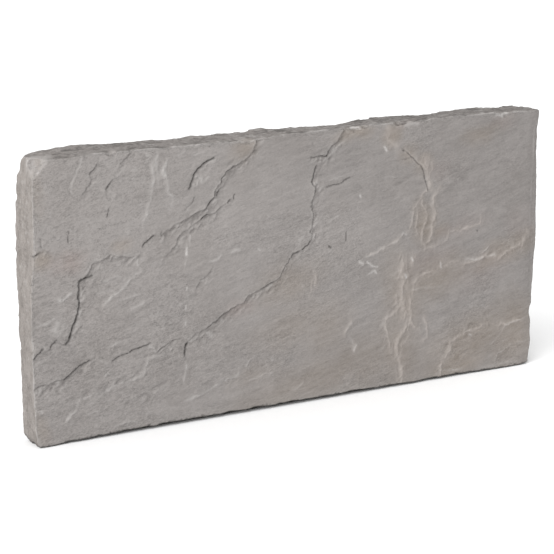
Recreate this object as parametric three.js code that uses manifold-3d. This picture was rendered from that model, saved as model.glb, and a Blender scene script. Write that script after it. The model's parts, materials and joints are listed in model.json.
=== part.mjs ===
// Sandstone edging stone: one riven slab that stands on its long bed face.
//
// Millimetres. X runs along the stone, Y runs through its thickness and Z is up. The riven
// show face looks towards -Y, and the origin is the middle of the bed face it stands on.

import Module from "manifold-3d";
import * as THREE from "three";
import { mergeVertices } from "three/addons/utils/BufferGeometryUtils.js";

// Driving dimensions of the dressed block.
const LENGTH = 900;
const HEIGHT = 420;
const THICKNESS = 52;

// Facets along, through and up the block, and the narrow band of them beside each arris.
const COLUMNS = 45;
const LAYERS = 4;
const ROWS = 21;
const ARRIS_BAND = 6;
const OUTER_LAYER = THICKNESS / 2 * (1 - 2 / LAYERS);

// Riving and dressing.
const SHOW_RELIEF = 1.5;
const BACK_RELIEF = 1.8;
const DRESSED_RELIEF = 1.6;
const BEDDING_RISE = THREE.MathUtils.degToRad(13);
const CHIP_LEAST = 0.5;
const CHIP_MOST = 2.6;
const BED_SETBACK = 4;

// An uneven end or top fades back to the true block over this distance.
const OUTLINE_FADE = 70;

// A cutter stands this far out of the stone and its sides leave the face by the run-out. It
// ends as wide and deep as a full swell is at this share of a point from its tip.
const CLEARANCE = 12;
const RUNOUT = 0.7;
const END_SWELL = 0.35;

// Sections of a broken leaf's bed and of an open crack.
const FLAKE_SECTION = [[0, 1], [0.45, 0.4], [1, 0]];
const NOTCH_SECTION = [[-1, 0], [0, 1], [1, 0]];

// How far the ends and the top stand out from the block, as [place along the arris, mm out].
// The ends are read up the stone and the top along it, on the show side and on the back.
const OUTLINE = {
  leftShow: [[0, 1], [25, 7], [90, 9], [230, 9], [293, 3], [385, 3], [HEIGHT, 0]],
  leftBack: [[0, -8], [16, 0], [128, 2.5], [239, 5.5], [347, 3.5], [389, -1], [HEIGHT, -8]],
  rightShow: [[0, -9], [37, -2], [88, -3.5], [200, 1.5], [264, 3], [388, -1], [HEIGHT, 2]],
  rightBack: [[0, -4], [60, 2], [160, -3], [250, 1], [330, -2], [HEIGHT, -5]],
  topShow: [[-450, -4], [-400, -4], [-360, -1], [-200, -2], [-100, -4], [-40, 0], [100, 2],
    [250, 3], [350, 3], [450, 0]],
  topBack: [[-450, -3], [-423, 1], [-366, 5], [-289, 1.5], [-85, 1.5], [-43, 4], [44, -1.5],
    [89, -3.5], [134, 2.5], [300, 2.5], [371, 5], [450, 1]],
};

// Height of the two long arrises of the bed face, as [place along the stone, mm up].
const BED_ARRIS = {
  show: [[-450, 3], [-400, 2], [-320, 8], [0, 7.5], [150, 5.5], [250, 4], [350, 1.5], [450, 2]],
  back: [[-450, 4], [-300, 2], [-120, 5], [60, 3], [220, 6], [380, 2], [450, 5]],
};

// Corners knocked off flat: a point on the break, the way it faces and half its width.
const KNOCKED_CORNERS = [
  { at: [-441, -20, 405], faces: [-0.62, -0.52, 0.59], reach: 34 },
  { at: [-446, 14, 411], faces: [-0.66, 0.3, 0.69], reach: 30 },
  { at: [-450, -22, 6], faces: [-0.55, -0.45, -0.7], reach: 26 },
  { at: [446, -10, 417], faces: [0.6, -0.1, 0.79], reach: 22 },
  { at: [447, -23, 7], faces: [0.62, -0.4, -0.68], reach: 20 },
  { at: [446, 21, 14], faces: [0.6, 0.6, -0.53], reach: 24 },
  { at: [-450, 23, 12], faces: [-0.62, 0.6, -0.5], reach: 26 },
];

// Scoops flaked out of the arrises: a point on the arris, the way it faces, and the depth
// and the radius of the hollow.
const SCOOPS = [
  { at: [-102, -26, 417], faces: [0, -0.85, 0.53], depth: 4, radius: 34 },
  { at: [-300, -26, 418], faces: [0, -0.6, 0.8], depth: 2.5, radius: 46 },
  { at: [88, -26, 421], faces: [0, -0.85, 0.53], depth: 3.5, radius: 48 },
  { at: [178, -26, 422], faces: [0, -0.7, 0.71], depth: 3, radius: 40 },
  { at: [382, -26, 422], faces: [0, -0.8, 0.6], depth: 3.5, radius: 38 },
  { at: [-210, 26, 420], faces: [0, 0.75, 0.66], depth: 7, radius: 60 },
  { at: [-20, 26, 421], faces: [0, 0.5, 0.87], depth: 5, radius: 52 },
  { at: [250, 26, 420], faces: [0, 0.8, 0.6], depth: 8, radius: 70 },
  { at: [395, 26, 422], faces: [0, 0.6, 0.8], depth: 5, radius: 40 },
  { at: [-456, -26, 286], faces: [-0.7, -0.71, 0], depth: 3.5, radius: 30 },
  { at: [-459, -26, 146], faces: [-0.8, -0.6, 0], depth: 3, radius: 36 },
  { at: [-454, 26, 215], faces: [-0.7, 0.71, 0], depth: 6, radius: 55 },
  { at: [449, -26, 88], faces: [0.85, -0.53, 0], depth: 3, radius: 40 },
  { at: [450, 26, 300], faces: [0.75, 0.66, 0], depth: 7, radius: 60 },
  { at: [448, 26, 120], faces: [0.6, 0.8, 0], depth: 5, radius: 44 },
  { at: [-160, 26, 4], faces: [0, 0.85, -0.53], depth: 5, radius: 50 },
  { at: [300, 26, 4], faces: [0, 0.9, -0.44], depth: 4, radius: 44 },
];
const SCOOP_FACETS = 3;

// Where a leaf of the stone has broken away. Each step runs along its points, [x, z] on the
// show face, with the broken ground on its left as they run. The leaf that is left stands
// `depth` proud of the foot of the step, and the ground climbs back to the face over `reach`.
const STEPS = [
  { depth: 3.4, reach: 95, path: [[-87, 417], [-85, 408], [-100, 391],
    [-125, 379], [-142, 367], [-151, 354], [-157, 338], [-169, 325], [-185, 317],
    [-226, 304], [-240, 295], [-262, 292], [-280, 277]] },
  { depth: 4.4, reach: 90, path: [[-292, 264], [-315, 267], [-332, 271],
    [-355, 262], [-366, 253], [-380, 238], [-384, 228], [-385, 200], [-392, 180],
    [-401, 152]] },
  { depth: 1.8, reach: 45, path: [[-396, 150], [-408, 150], [-420, 158],
    [-432, 145], [-442, 147], [-461, 132]] },
  { depth: 1.5, reach: 60, path: [[-122, 337], [-137, 325], [-150, 316],
    [-170, 313], [-178, 304], [-205, 292], [-222, 276], [-240, 260], [-262, 257]] },
  { depth: 2.0, reach: 22, path: [[-157, 398], [-170, 391], [-186, 382],
    [-194, 370], [-199, 354]] },
  { depth: 1.6, reach: 18, path: [[-350, 419], [-349, 402], [-363, 387],
    [-369, 367], [-388, 361]] },
  { depth: 1.1, reach: 16, path: [[-391, 361], [-393, 374], [-387, 390],
    [-373, 412]] },
  { depth: 1.3, reach: 30, path: [[-297, 418], [-305, 407], [-319, 393],
    [-325, 380], [-338, 366], [-335, 350]] },
  { depth: 2.6, reach: 45, path: [[72, 422], [61, 405], [42, 382],
    [12, 381]] },
  { depth: 3.4, reach: 70, path: [[24, 374], [14, 342], [20, 325],
    [14, 300], [13, 275], [14, 250], [0, 242], [-20, 238]] },
  { depth: 3.8, reach: 80, path: [[-15, 241], [-33, 221], [-48, 196],
    [-75, 189], [-92, 182], [-106, 172], [-128, 167], [-147, 157], [-168, 144],
    [-200, 131], [-211, 121], [-212, 104]] },
  { depth: 3.2, reach: 45, path: [[-364, 122], [-385, 113], [-410, 98],
    [-435, 94], [-462, 90]] },
  { depth: 1.2, reach: 35, path: [[-272, 131], [-300, 124], [-332, 116]] },
  { depth: 1.2, reach: 35, path: [[-222, 131], [-246, 125], [-258, 118]] },
  { depth: 1.4, reach: 50, path: [[-404, 38], [-391, 58], [-375, 66],
    [-332, 75], [-290, 83], [-278, 98], [-268, 112], [-228, 112]] },
  { depth: 1.4, reach: 45, path: [[-200, 88], [-225, 81], [-257, 68],
    [-285, 57], [-320, 45]] },
  { depth: 1.3, reach: 40, path: [[185, 8], [178, 36], [158, 66],
    [155, 103], [182, 134], [185, 170], [183, 195], [205, 209]] },
  { depth: 1.2, reach: 35, path: [[266, 12], [278, 36], [300, 66],
    [326, 74], [372, 68]] },
  { depth: 1.1, reach: 40, path: [[205, 165], [262, 184], [308, 187],
    [367, 189], [402, 202], [436, 206]] },
];

// Open cracks, notched `depth` deep and `reach` wide to each side of their points.
const CRACKS = [
  { depth: 1.5, reach: 4, path: [[160, 398], [185, 378], [205, 361], [223, 343], [230, 322],
    [235, 308]] },
  { depth: 3.2, reach: 3.5, path: [[-210, 122], [-213, 112], [-212, 100]] },
  { depth: 3.0, reach: 4, path: [[-396, 164], [-401, 152], [-410, 148]] },
];

const STONE_COLOUR = 0x9d9995;
const STONE_ROUGHNESS = 0.92;
const STONE_METALNESS = 0;

const wasm = await Module();
wasm.setup();

/** Reads a list of [place, value] pairs at a place between them, on straight lines. */
function along(profile, place) {
  const next = profile.findIndex(([end]) => end >= place);
  if (next < 0) return profile[profile.length - 1][1];
  if (next === 0) return profile[0][1];
  const [start, before] = profile[next - 1];
  const [end, after] = profile[next];
  return THREE.MathUtils.mapLinear(place, start, end, before, after);
}

/** A repeatable number from 0 to 1 for a place on the stone, with no two places alike. */
function chance(...place) {
  const mixed = place.reduce((sum, value, index) => sum + value * (12.9898 + 65.233 * index), 0);
  const wave = Math.sin(mixed) * 43758.5453;
  return wave - Math.floor(wave);
}

/** The rise and fall of a riven face, from -1 to 1: long in the bedding, short across it. */
function riven(x, z, seed) {
  const grain = x * Math.cos(BEDDING_RISE) + z * Math.sin(BEDDING_RISE);
  const across = z * Math.cos(BEDDING_RISE) - x * Math.sin(BEDDING_RISE);
  const broad = Math.sin(grain / 118 + across / 71 + seed);
  const middle = Math.sin(across / 37 - grain / 190 + 2.3 * seed);
  const fine = Math.sin(grain / 43 + across / 19 + 4.1 * seed);
  return 0.5 * broad + 0.3 * middle + 0.2 * fine;
}

/** Where the show face lies in Y at a point of it. */
function showFace(x, z) {
  return -THICKNESS / 2 - SHOW_RELIEF * riven(x, z, 0.6);
}

/** Where the riven back lies in Y at a point of it. */
function backFace(x, z) {
  return THICKNESS / 2 + BACK_RELIEF * riven(-x, z, 2.9);
}

/** Moves an evenly spaced grid line so that the outer lines stand close to the arrises. */
function gather(value, half, count) {
  const line = Math.round((value / half + 1) * count / 2);
  if (line === 0 || line === count) return value;
  return THREE.MathUtils.mapLinear(line, 1, count - 1, ARRIS_BAND - half, half - ARRIS_BAND);
}

/** How much of an uneven outline a point at this distance from the edge takes on. */
function fade(distance) {
  return THREE.MathUtils.clamp(1 - distance / OUTLINE_FADE, 0, 1);
}

/** Turns a three.js geometry into a solid that can be joined and cut. */
function solidOf(geometry) {
  geometry.deleteAttribute("normal");
  geometry.deleteAttribute("uv");
  const merged = mergeVertices(geometry);
  return new wasm.Manifold(new wasm.Mesh({
    numProp: 3,
    vertProperties: new Float32Array(merged.attributes.position.array),
    triVerts: new Uint32Array(merged.index.array),
  }));
}

/** Moves every point of a geometry by a function from its old place to its new one. */
function reshape(geometry, move) {
  const points = geometry.attributes.position;
  for (let index = 0; index < points.count; index += 1) {
    points.setXYZ(index, ...move(points.getX(index), points.getY(index), points.getZ(index)));
  }
  return geometry;
}

/** One point of the block, from the plain box to the riven and dressed stone. */
function dress(boxX, boxY, boxZ) {
  const atEnd = Math.abs(boxX) === LENGTH / 2;
  const atFace = Math.abs(boxY) === THICKNESS / 2;
  const atTop = boxZ === HEIGHT / 2;
  const atBed = boxZ === -HEIGHT / 2;
  const x = gather(boxX, LENGTH / 2, COLUMNS);
  const z = gather(boxZ, HEIGHT / 2, ROWS) + HEIGHT / 2;
  const through = boxY / THICKNESS + 0.5;

  const chip = THREE.MathUtils.lerp(CHIP_LEAST, CHIP_MOST, chance(x, boxY, z));
  const onArris = (atEnd && atFace) || (atTop && atFace) || (atTop && atEnd);
  const setBack = onArris ? chip : 0;
  const rough = DRESSED_RELIEF * (chance(x, boxY, z) - 0.5);

  const side = Math.sign(x) < 0 ? "left" : "right";
  const endOut = THREE.MathUtils.lerp(
    along(OUTLINE[`${side}Show`], z), along(OUTLINE[`${side}Back`], z), through);
  const topOut = THREE.MathUtils.lerp(
    along(OUTLINE.topShow, x), along(OUTLINE.topBack, x), through);
  const endShare = fade(LENGTH / 2 - Math.abs(x));
  const newX = x + Math.sign(x) * (endOut * endShare + (atEnd ? rough - setBack : 0));
  let newZ = z + topOut * fade(HEIGHT - z) + (atTop ? rough - setBack : 0);

  let newY = boxY;
  if (atFace) {
    const onBack = boxY > 0;
    newY = onBack ? backFace(newX, newZ) - setBack : showFace(newX, newZ) + setBack;
    if (atBed) {
      newZ = along(onBack ? BED_ARRIS.back : BED_ARRIS.show, newX);
    }
  } else if (atBed) {
    newY = boxY * (THICKNESS / 2 - BED_SETBACK) / OUTER_LAYER;
  }
  return [newX, newY, newZ];
}

/** The whole stone before any leaf of it has broken away. */
function slab() {
  const block = new THREE.BoxGeometry(LENGTH, THICKNESS, HEIGHT, COLUMNS, LAYERS, ROWS);
  return solidOf(reshape(block, dress));
}

/**
 * A cutter along a path on the show face: a long box with a row of points across it at each
 * point of the path. A section is [share of the reach to the left, share of the depth] from
 * one side of the box to the other. It narrows and runs out towards both ends of the path.
 */
function cutter({ path, depth, reach }, section) {
  const last = path.length - 1;
  const strips = section.length - 1;
  const box = new THREE.BoxGeometry(last, 1, strips, last, 1, strips);
  const run = new THREE.Vector2(...path[last]).sub(new THREE.Vector2(...path[0])).normalize();
  return solidOf(reshape(box, (column, side, strip) => {
    const place = Math.round(column + last / 2);
    const [left, down] = section[Math.round(strip + strips / 2)];
    const swell = Math.sqrt(Math.sin(Math.PI * (place + END_SWELL) / (last + 2 * END_SWELL)));
    const x = path[place][0] - run.y * left * reach * swell;
    const z = path[place][1] + run.x * left * reach * swell;
    const floor = down > 0 ? down * depth * swell : -RUNOUT;
    return [x, showFace(x, z) + (side > 0 ? floor : -CLEARANCE), z];
  }));
}

/** The piece knocked off at one corner, bounded by a flat break. */
function corner({ at, faces, reach }) {
  const box = new THREE.BoxGeometry(2 * reach, 2 * reach, reach);
  const outwards = new THREE.Vector3(...faces).normalize();
  const turn = new THREE.Quaternion().setFromUnitVectors(new THREE.Vector3(0, 0, 1), outwards);
  box.translate(0, 0, reach / 2).applyQuaternion(turn).translate(...at);
  return solidOf(box);
}

/** The ball that leaves one scoop in an arris. */
function scoop({ at, faces, depth, radius }) {
  const ball = new THREE.IcosahedronGeometry(radius, SCOOP_FACETS);
  const outwards = new THREE.Vector3(...faces).normalize();
  const centre = new THREE.Vector3(...at).addScaledVector(outwards, radius - depth);
  return solidOf(ball.translate(...centre));
}

/** What is left of the stone when every cutter is taken out and loose crumbs have fallen. */
function cutAll(stone, cutters) {
  const pieces = cutters.reduce((left, cut) => left.subtract(cut), stone).decompose();
  return pieces.reduce((most, piece) => (piece.volume() > most.volume() ? piece : most));
}

/** A solid as a geometry, moved in X and Y so that the origin is under its middle. */
function centred(solid) {
  const mesh = solid.getMesh();
  const geometry = new THREE.BufferGeometry();
  geometry.setAttribute("position", new THREE.BufferAttribute(mesh.vertProperties, 3));
  geometry.setIndex(new THREE.BufferAttribute(mesh.triVerts, 1));
  geometry.computeBoundingBox();
  const middle = geometry.boundingBox.getCenter(new THREE.Vector3());
  geometry.translate(-middle.x, -middle.y, 0);
  geometry.computeVertexNormals();
  return geometry;
}

const stone = cutAll(slab(), [
  ...STEPS.map((step) => cutter(step, FLAKE_SECTION)),
  ...CRACKS.map((crack) => cutter(crack, NOTCH_SECTION)),
  ...KNOCKED_CORNERS.map(corner),
  ...SCOOPS.map(scoop),
]);

const material = new THREE.MeshStandardMaterial({
  color: STONE_COLOUR,
  roughness: STONE_ROUGHNESS,
  metalness: STONE_METALNESS,
});

const edgingStone = new THREE.Mesh(centred(stone), material);
edgingStone.name = "edging_stone";

const part = new THREE.Group();
part.add(edgingStone);

export default part;
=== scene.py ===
"""Looks of a sandstone edging stone: one riven slab standing on its long bed face.

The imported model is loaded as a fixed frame, and the stone here takes the place of its one
node. Objects are in metres. The stone's own measures are kept in millimetres, as a mason
would give them, and MM turns them into metres.

X runs along the stone, Y through it with the riven show face towards -Y, and Z is up.
"""

from __future__ import annotations

import itertools
import json
import logging
import math
from dataclasses import dataclass
from enum import Enum, IntEnum
from typing import Any

import bpy
import numpy as np
from mathutils import Euler, Matrix, Vector

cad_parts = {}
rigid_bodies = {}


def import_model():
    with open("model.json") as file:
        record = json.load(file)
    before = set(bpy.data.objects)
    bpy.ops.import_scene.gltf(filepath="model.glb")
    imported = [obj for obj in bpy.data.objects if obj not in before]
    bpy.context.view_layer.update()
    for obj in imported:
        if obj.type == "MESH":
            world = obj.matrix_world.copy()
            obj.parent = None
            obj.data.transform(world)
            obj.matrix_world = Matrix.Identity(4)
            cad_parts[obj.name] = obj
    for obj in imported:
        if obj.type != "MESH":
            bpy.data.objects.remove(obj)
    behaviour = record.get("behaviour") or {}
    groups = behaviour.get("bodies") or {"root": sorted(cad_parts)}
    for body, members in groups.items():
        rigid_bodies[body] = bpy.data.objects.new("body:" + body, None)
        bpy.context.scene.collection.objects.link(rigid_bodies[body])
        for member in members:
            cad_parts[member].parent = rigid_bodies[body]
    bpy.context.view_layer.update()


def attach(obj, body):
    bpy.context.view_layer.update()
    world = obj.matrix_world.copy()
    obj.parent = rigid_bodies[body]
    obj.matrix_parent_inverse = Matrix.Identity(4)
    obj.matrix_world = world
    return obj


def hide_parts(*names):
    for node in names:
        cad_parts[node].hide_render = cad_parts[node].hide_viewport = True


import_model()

MM = 0.001
BODY = "root"
NODE = "edging_stone"
MARKS = ("vein", "crevice_shade", "edge", "rust", "rose", "top_shade_and_dim_ends", "pale", "shade")
BEDDING_RISE = 13.0
PRIMES = (73856093, 19349663, 83492791)
SEED_FACTOR = 2654435761
MIXES = ((15, 2246822519), (13, 3266489917))
WORD = 0xFFFFFFFF

log = logging.getLogger("edging_stone")


class Face(Enum):
    """The six faces of the dressed block, as (axis, end of the axis)."""

    LEFT = (0, 0)
    RIGHT = (0, 1)
    SHOW = (1, 0)
    BACK = (1, 1)
    BED = (2, 0)
    TOP = (2, 1)


class Seed(IntEnum):
    """The noises of the stone, each with the number that picks its lattice."""

    WANDER = 5
    STAIN = 8
    RIVING = 17
    PATCH = 18
    LEAF = 21
    ARRIS = 31
    BED = 44
    BREAK = 52
    CRUMB = 61
    STRIAE = 64
    SETBACK = 71
    GAPE = 75
    UNEVEN = 76
    WIDTH = 81
    SHOWING = 82
    CROOKED = 83
    THREAD = 86
    WEAR = 91
    WORN = 92
    CHIP = 93
    CURL = 96
    CURLED = 98
    RIB = 101
    BLOCK = 111


def smooth(low: float, high: float, value: np.ndarray) -> np.ndarray:
    """Eases values from 0 where they are low to 1 where they are high."""
    share = np.clip((value - low) / (high - low), 0.0, 1.0)
    return share * share * (3.0 - 2.0 * share)


def noise(points: np.ndarray, wavelength: float, seed: int) -> np.ndarray:
    """Smooth noise on a jittered lattice, the same on every run.

    Args:
        points: places to read, one row of coordinates each.
        wavelength: size of one cell of the lattice, in the points' own unit.
        seed: whole number that picks the lattice.

    Returns:
        One value from -1 to 1 for each point.
    """
    cell = points / wavelength + 0.37 * seed
    base = np.floor(cell).astype(np.int64)
    part = cell - base
    part = part * part * part * (part * (part * 6.0 - 15.0) + 10.0)
    total = np.zeros(len(points))
    for corner in itertools.product((0, 1), repeat=points.shape[1]):
        mixed = np.full(len(points), seed * SEED_FACTOR & WORD, np.int64)
        weight = np.ones(len(points))
        for axis, step in enumerate(corner):
            mixed ^= ((base[:, axis] + step) * PRIMES[axis]) & WORD
            weight *= part[:, axis] if step else 1.0 - part[:, axis]
        for shift, factor in MIXES:
            mixed = ((mixed ^ (mixed >> shift)) * factor) & WORD
        total += weight * (((mixed ^ (mixed >> 16)) & 0xFFFF) / 32767.5 - 1.0)
    return total


def layered(points: np.ndarray, wavelength: float, seed: int, octaves: int,
            rough: float = 0.5) -> np.ndarray:
    """Noise with finer noise on it, each layer half as long as the one before.

    Args:
        points: places to read, one row of coordinates each.
        wavelength: wavelength of the longest layer.
        seed: whole number that picks the noise.
        octaves: number of layers.
        rough: height of each layer against the one before.

    Returns:
        One value for each point, from about -1 to 1.
    """
    heights = [rough**layer for layer in range(octaves)]
    total = np.zeros(len(points))
    for layer, height in enumerate(heights):
        total += height * noise(points, wavelength / 2**layer, seed + 11 * layer)
    return total / sum(heights)


def sway(points: np.ndarray, wavelength: float, seed: int, octaves: int,
         rough: float = 0.5) -> np.ndarray:
    """Two layered noises side by side, of a seed and the next, to move places about."""
    return np.stack([layered(points, wavelength, seed + side, octaves, rough)
                     for side in (0, 1)], 1)


def hump(distance: np.ndarray, width: float | np.ndarray) -> np.ndarray:
    """A bell over a distance, 1 in its middle and 1/e at its width."""
    return np.exp(-((distance / width) ** 2))


def tapered(share: np.ndarray, run: float) -> np.ndarray:
    """Eases from 0 at both ends of a line to 1 over a share of its length."""
    return smooth(0.0, run, share) * smooth(0.0, run, 1.0 - share)


def overlay(mark: np.ndarray, index: Any, strength: np.ndarray) -> None:
    """Raises a marking at some points to the strength given, where that is more."""
    mark[index] = np.maximum(mark[index], strength)


@dataclass(frozen=True)
class Line:
    """A line drawn on the show face, with what it measures there, in millimetres.

    Attributes:
        path: its points, as (x, z).
        depth: how deep a step or crack is, or how high a vein stands.
        reach: how far a step's ground takes to climb back, or half the width of the rest.
    """

    path: tuple[tuple[float, float], ...]
    depth: float
    reach: float

    def near(self, points: np.ndarray) -> tuple[np.ndarray, np.ndarray, np.ndarray]:
        """Measures points against the line.

        Args:
            points: places on the face.

        Returns:
            The distance of each point, positive on the left of the line as it runs, its
            share of the way along the line, and the index of each point measured. Points
            further off than the reach are left out.
        """
        ends = np.array(self.path)
        margin = self.reach + 20.0
        low = ends.min(0) - margin
        high = ends.max(0) + margin
        index = np.flatnonzero(((points > low) & (points < high)).all(1))
        place = points[index]
        lengths = np.linalg.norm(np.diff(ends, axis=0), axis=1)
        before = np.concatenate([[0.0], np.cumsum(lengths)])
        nearest = np.full(len(place), np.inf)
        side = np.ones(len(place))
        share = np.zeros(len(place))
        for start, end, length, passed in zip(ends[:-1], ends[1:], lengths, before):
            run = (end - start) / length
            offset = place - start
            along = np.clip(offset @ run, 0.0, length)
            gap = offset - along[:, None] * run
            distance = np.hypot(gap[:, 0], gap[:, 1])
            closer = distance < nearest
            left = run[0] * offset[:, 1] - run[1] * offset[:, 0]
            nearest = np.where(closer, distance, nearest)
            side = np.where(closer, np.where(left >= 0.0, 1.0, -1.0), side)
            share = np.where(closer, (passed + along) / before[-1], share)
        return nearest * side, share, index


def drawn(*rows: tuple) -> tuple[Line, ...]:
    """Makes lines from rows of a depth, a reach and the points of a path."""
    return tuple(Line(tuple(path), depth, reach) for depth, reach, *path in rows)


# Where a leaf of the stone has broken away, leaving a step with the broken ground on the
# left of the line as it runs. A line that leaves the face runs on past its arris.
STEPS = drawn(
    # The long ledge, from the top down to the left end.
    (3.2, 80, (-74, 471), (-88, 418), (-86, 410), (-94, 401), (-101, 392), (-112, 387), (-126, 380),
     (-139, 372), (-146, 363), (-148, 358), (-158, 347), (-158, 337), (-170, 326), (-177, 320),
     (-187, 318), (-206, 310), (-227, 304), (-234, 298), (-240, 295), (-250, 290), (-262, 292),
     (-270, 284), (-281, 276)),
    (3.8, 75, (-281, 268), (-292, 264), (-303, 265), (-325, 268), (-332, 271), (-346, 265), (-362, 260),
     (-366, 252), (-371, 245), (-378, 238), (-383, 235), (-384, 227), (-385, 211), (-384, 199),
     (-386, 194), (-390, 188), (-392, 179), (-394, 171), (-398, 166), (-400, 159), (-402, 147),
     (-404, 139)),
    (2.0, 30, (-396, 146), (-410, 149), (-420, 157), (-426, 152), (-432, 144), (-438, 142), (-442, 146),
     (-451, 138), (-460, 131), (-499, 111)),
    # The leaf under it, and the hook above it.
    (1.9, 45, (-119, 344), (-123, 338), (-132, 332), (-138, 326), (-151, 317), (-158, 312), (-171, 314),
     (-177, 309), (-180, 305), (-191, 301), (-205, 292), (-214, 288), (-219, 283), (-222, 276),
     (-226, 270), (-240, 260), (-262, 256)),
    (2.4, 16, (-153, 403), (-161, 397), (-171, 392), (-179, 388), (-187, 383), (-192, 377), (-195, 370),
     (-197, 362), (-201, 350)),
    (1.2, 14, (-192, 347), (-194, 336), (-201, 330), (-210, 322)),
    # The two leaves at the upper left, and the lines beside them.
    (1.5, 12, (-353, 440), (-351, 416), (-349, 408), (-350, 402), (-356, 396), (-364, 389), (-363, 380),
     (-366, 372), (-370, 366), (-376, 362), (-390, 360)),
    (0.9, 10, (-386, 359), (-392, 364), (-394, 373), (-392, 381), (-388, 389), (-384, 395), (-378, 407),
     (-373, 424)),
    (1.2, 26, (-293, 440), (-298, 416), (-306, 407), (-316, 400), (-321, 392), (-326, 380), (-332, 373),
     (-339, 366), (-338, 358), (-335, 346)),
    (1.2, 12, (-331, 344), (-333, 338), (-336, 330), (-338, 322)),
    (0.7, 12, (-295, 368), (-301, 364), (-309, 359), (-321, 356)),
    (0.9, 9, (-117, 400), (-123, 396), (-127, 391), (-135, 387), (-153, 382)),
    # The ledge down the middle and on to the lower left.
    (2.6, 30, (83, 452), (70, 422), (65, 414), (60, 405), (56, 401), (49, 398), (44, 391), (41, 384),
     (29, 383), (11, 384), (3, 382)),
    (2.8, 55, (27, 382), (23, 374), (20, 364), (16, 352), (14, 344), (17, 338), (21, 332), (18, 325),
     (14, 317), (14, 302), (16, 290), (13, 277), (9, 270), (13, 264), (14, 252), (8, 248), (0, 244),
     (-8, 241)),
    (3.2, 65, (2, 245), (-10, 241), (-20, 240), (-24, 232), (-33, 222), (-38, 216), (-42, 205),
     (-50, 200), (-58, 197), (-66, 194), (-75, 190), (-86, 185), (-98, 183), (-103, 178), (-107, 173),
     (-120, 170), (-128, 168), (-134, 163), (-147, 158), (-158, 151), (-168, 145), (-176, 141),
     (-183, 139), (-187, 134), (-200, 131), (-206, 125), (-210, 120), (-211, 110), (-211, 98)),
    # The low ledges on the left, and the pale ridge under them.
    (2.6, 32, (-360, 126), (-365, 121), (-376, 116), (-384, 112), (-392, 107), (-399, 102), (-409, 97),
     (-424, 95), (-436, 93), (-451, 93), (-461, 87), (-499, 83)),
    (1.1, 22, (-266, 133), (-272, 131), (-285, 128), (-300, 124), (-309, 121), (-321, 118), (-335, 114)),
    (1.1, 20, (-216, 133), (-232, 130), (-240, 127), (-249, 121), (-261, 116)),
    (1.5, 34, (-407, 33), (-402, 43), (-392, 47), (-385, 51), (-390, 57), (-386, 63), (-374, 65),
     (-344, 70), (-331, 75), (-311, 79), (-289, 83), (-281, 86), (-274, 92), (-277, 98), (-274, 106),
     (-265, 112), (-245, 113), (-223, 110)),
    (1.3, 26, (-193, 91), (-204, 82), (-224, 81), (-237, 75), (-256, 68), (-274, 61), (-284, 57),
     (-299, 52), (-323, 43)),
    # The ground beside the veins and the light bands on the right.
    (0.9, 22, (187, -17), (185, 11), (180, 37), (175, 53), (162, 69), (158, 87), (153, 105), (161, 117),
     (176, 127), (182, 139), (184, 163), (182, 183), (181, 201), (186, 214), (205, 215)),
    (0.9, 24, (263, -12), (265, 17), (273, 35), (285, 53), (294, 65), (313, 74), (343, 78), (377, 72)),
    (0.8, 26, (203, 166), (220, 175), (245, 182), (275, 189), (308, 189), (345, 194), (372, 194),
     (398, 200), (426, 208), (470, 220)),
    (0.8, 20, (228, 220), (244, 221), (262, 225), (275, 233), (300, 243), (342, 249)),
    # Folds and small drops.
    (0.7, 24, (-346, 201), (-325, 214), (-310, 225), (-290, 237), (-276, 244)),
    (0.6, 18, (-178, 239), (-160, 244), (-150, 250), (-128, 254), (-114, 257)),
    (1.2, 14, (-162, 233), (-165, 229), (-173, 220), (-183, 216), (-190, 207), (-197, 196)),
    (0.7, 10, (-213, 192), (-220, 188), (-230, 185)),
    (0.7, 18, (-99, 79), (-112, 76), (-115, 66), (-121, 61), (-144, 57), (-156, 52), (-184, 43),
     (-201, 38)),
    (1.4, 10, (-418, 281), (-422, 282), (-435, 289), (-447, 287), (-458, 280), (-480, 269)),
)

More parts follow.
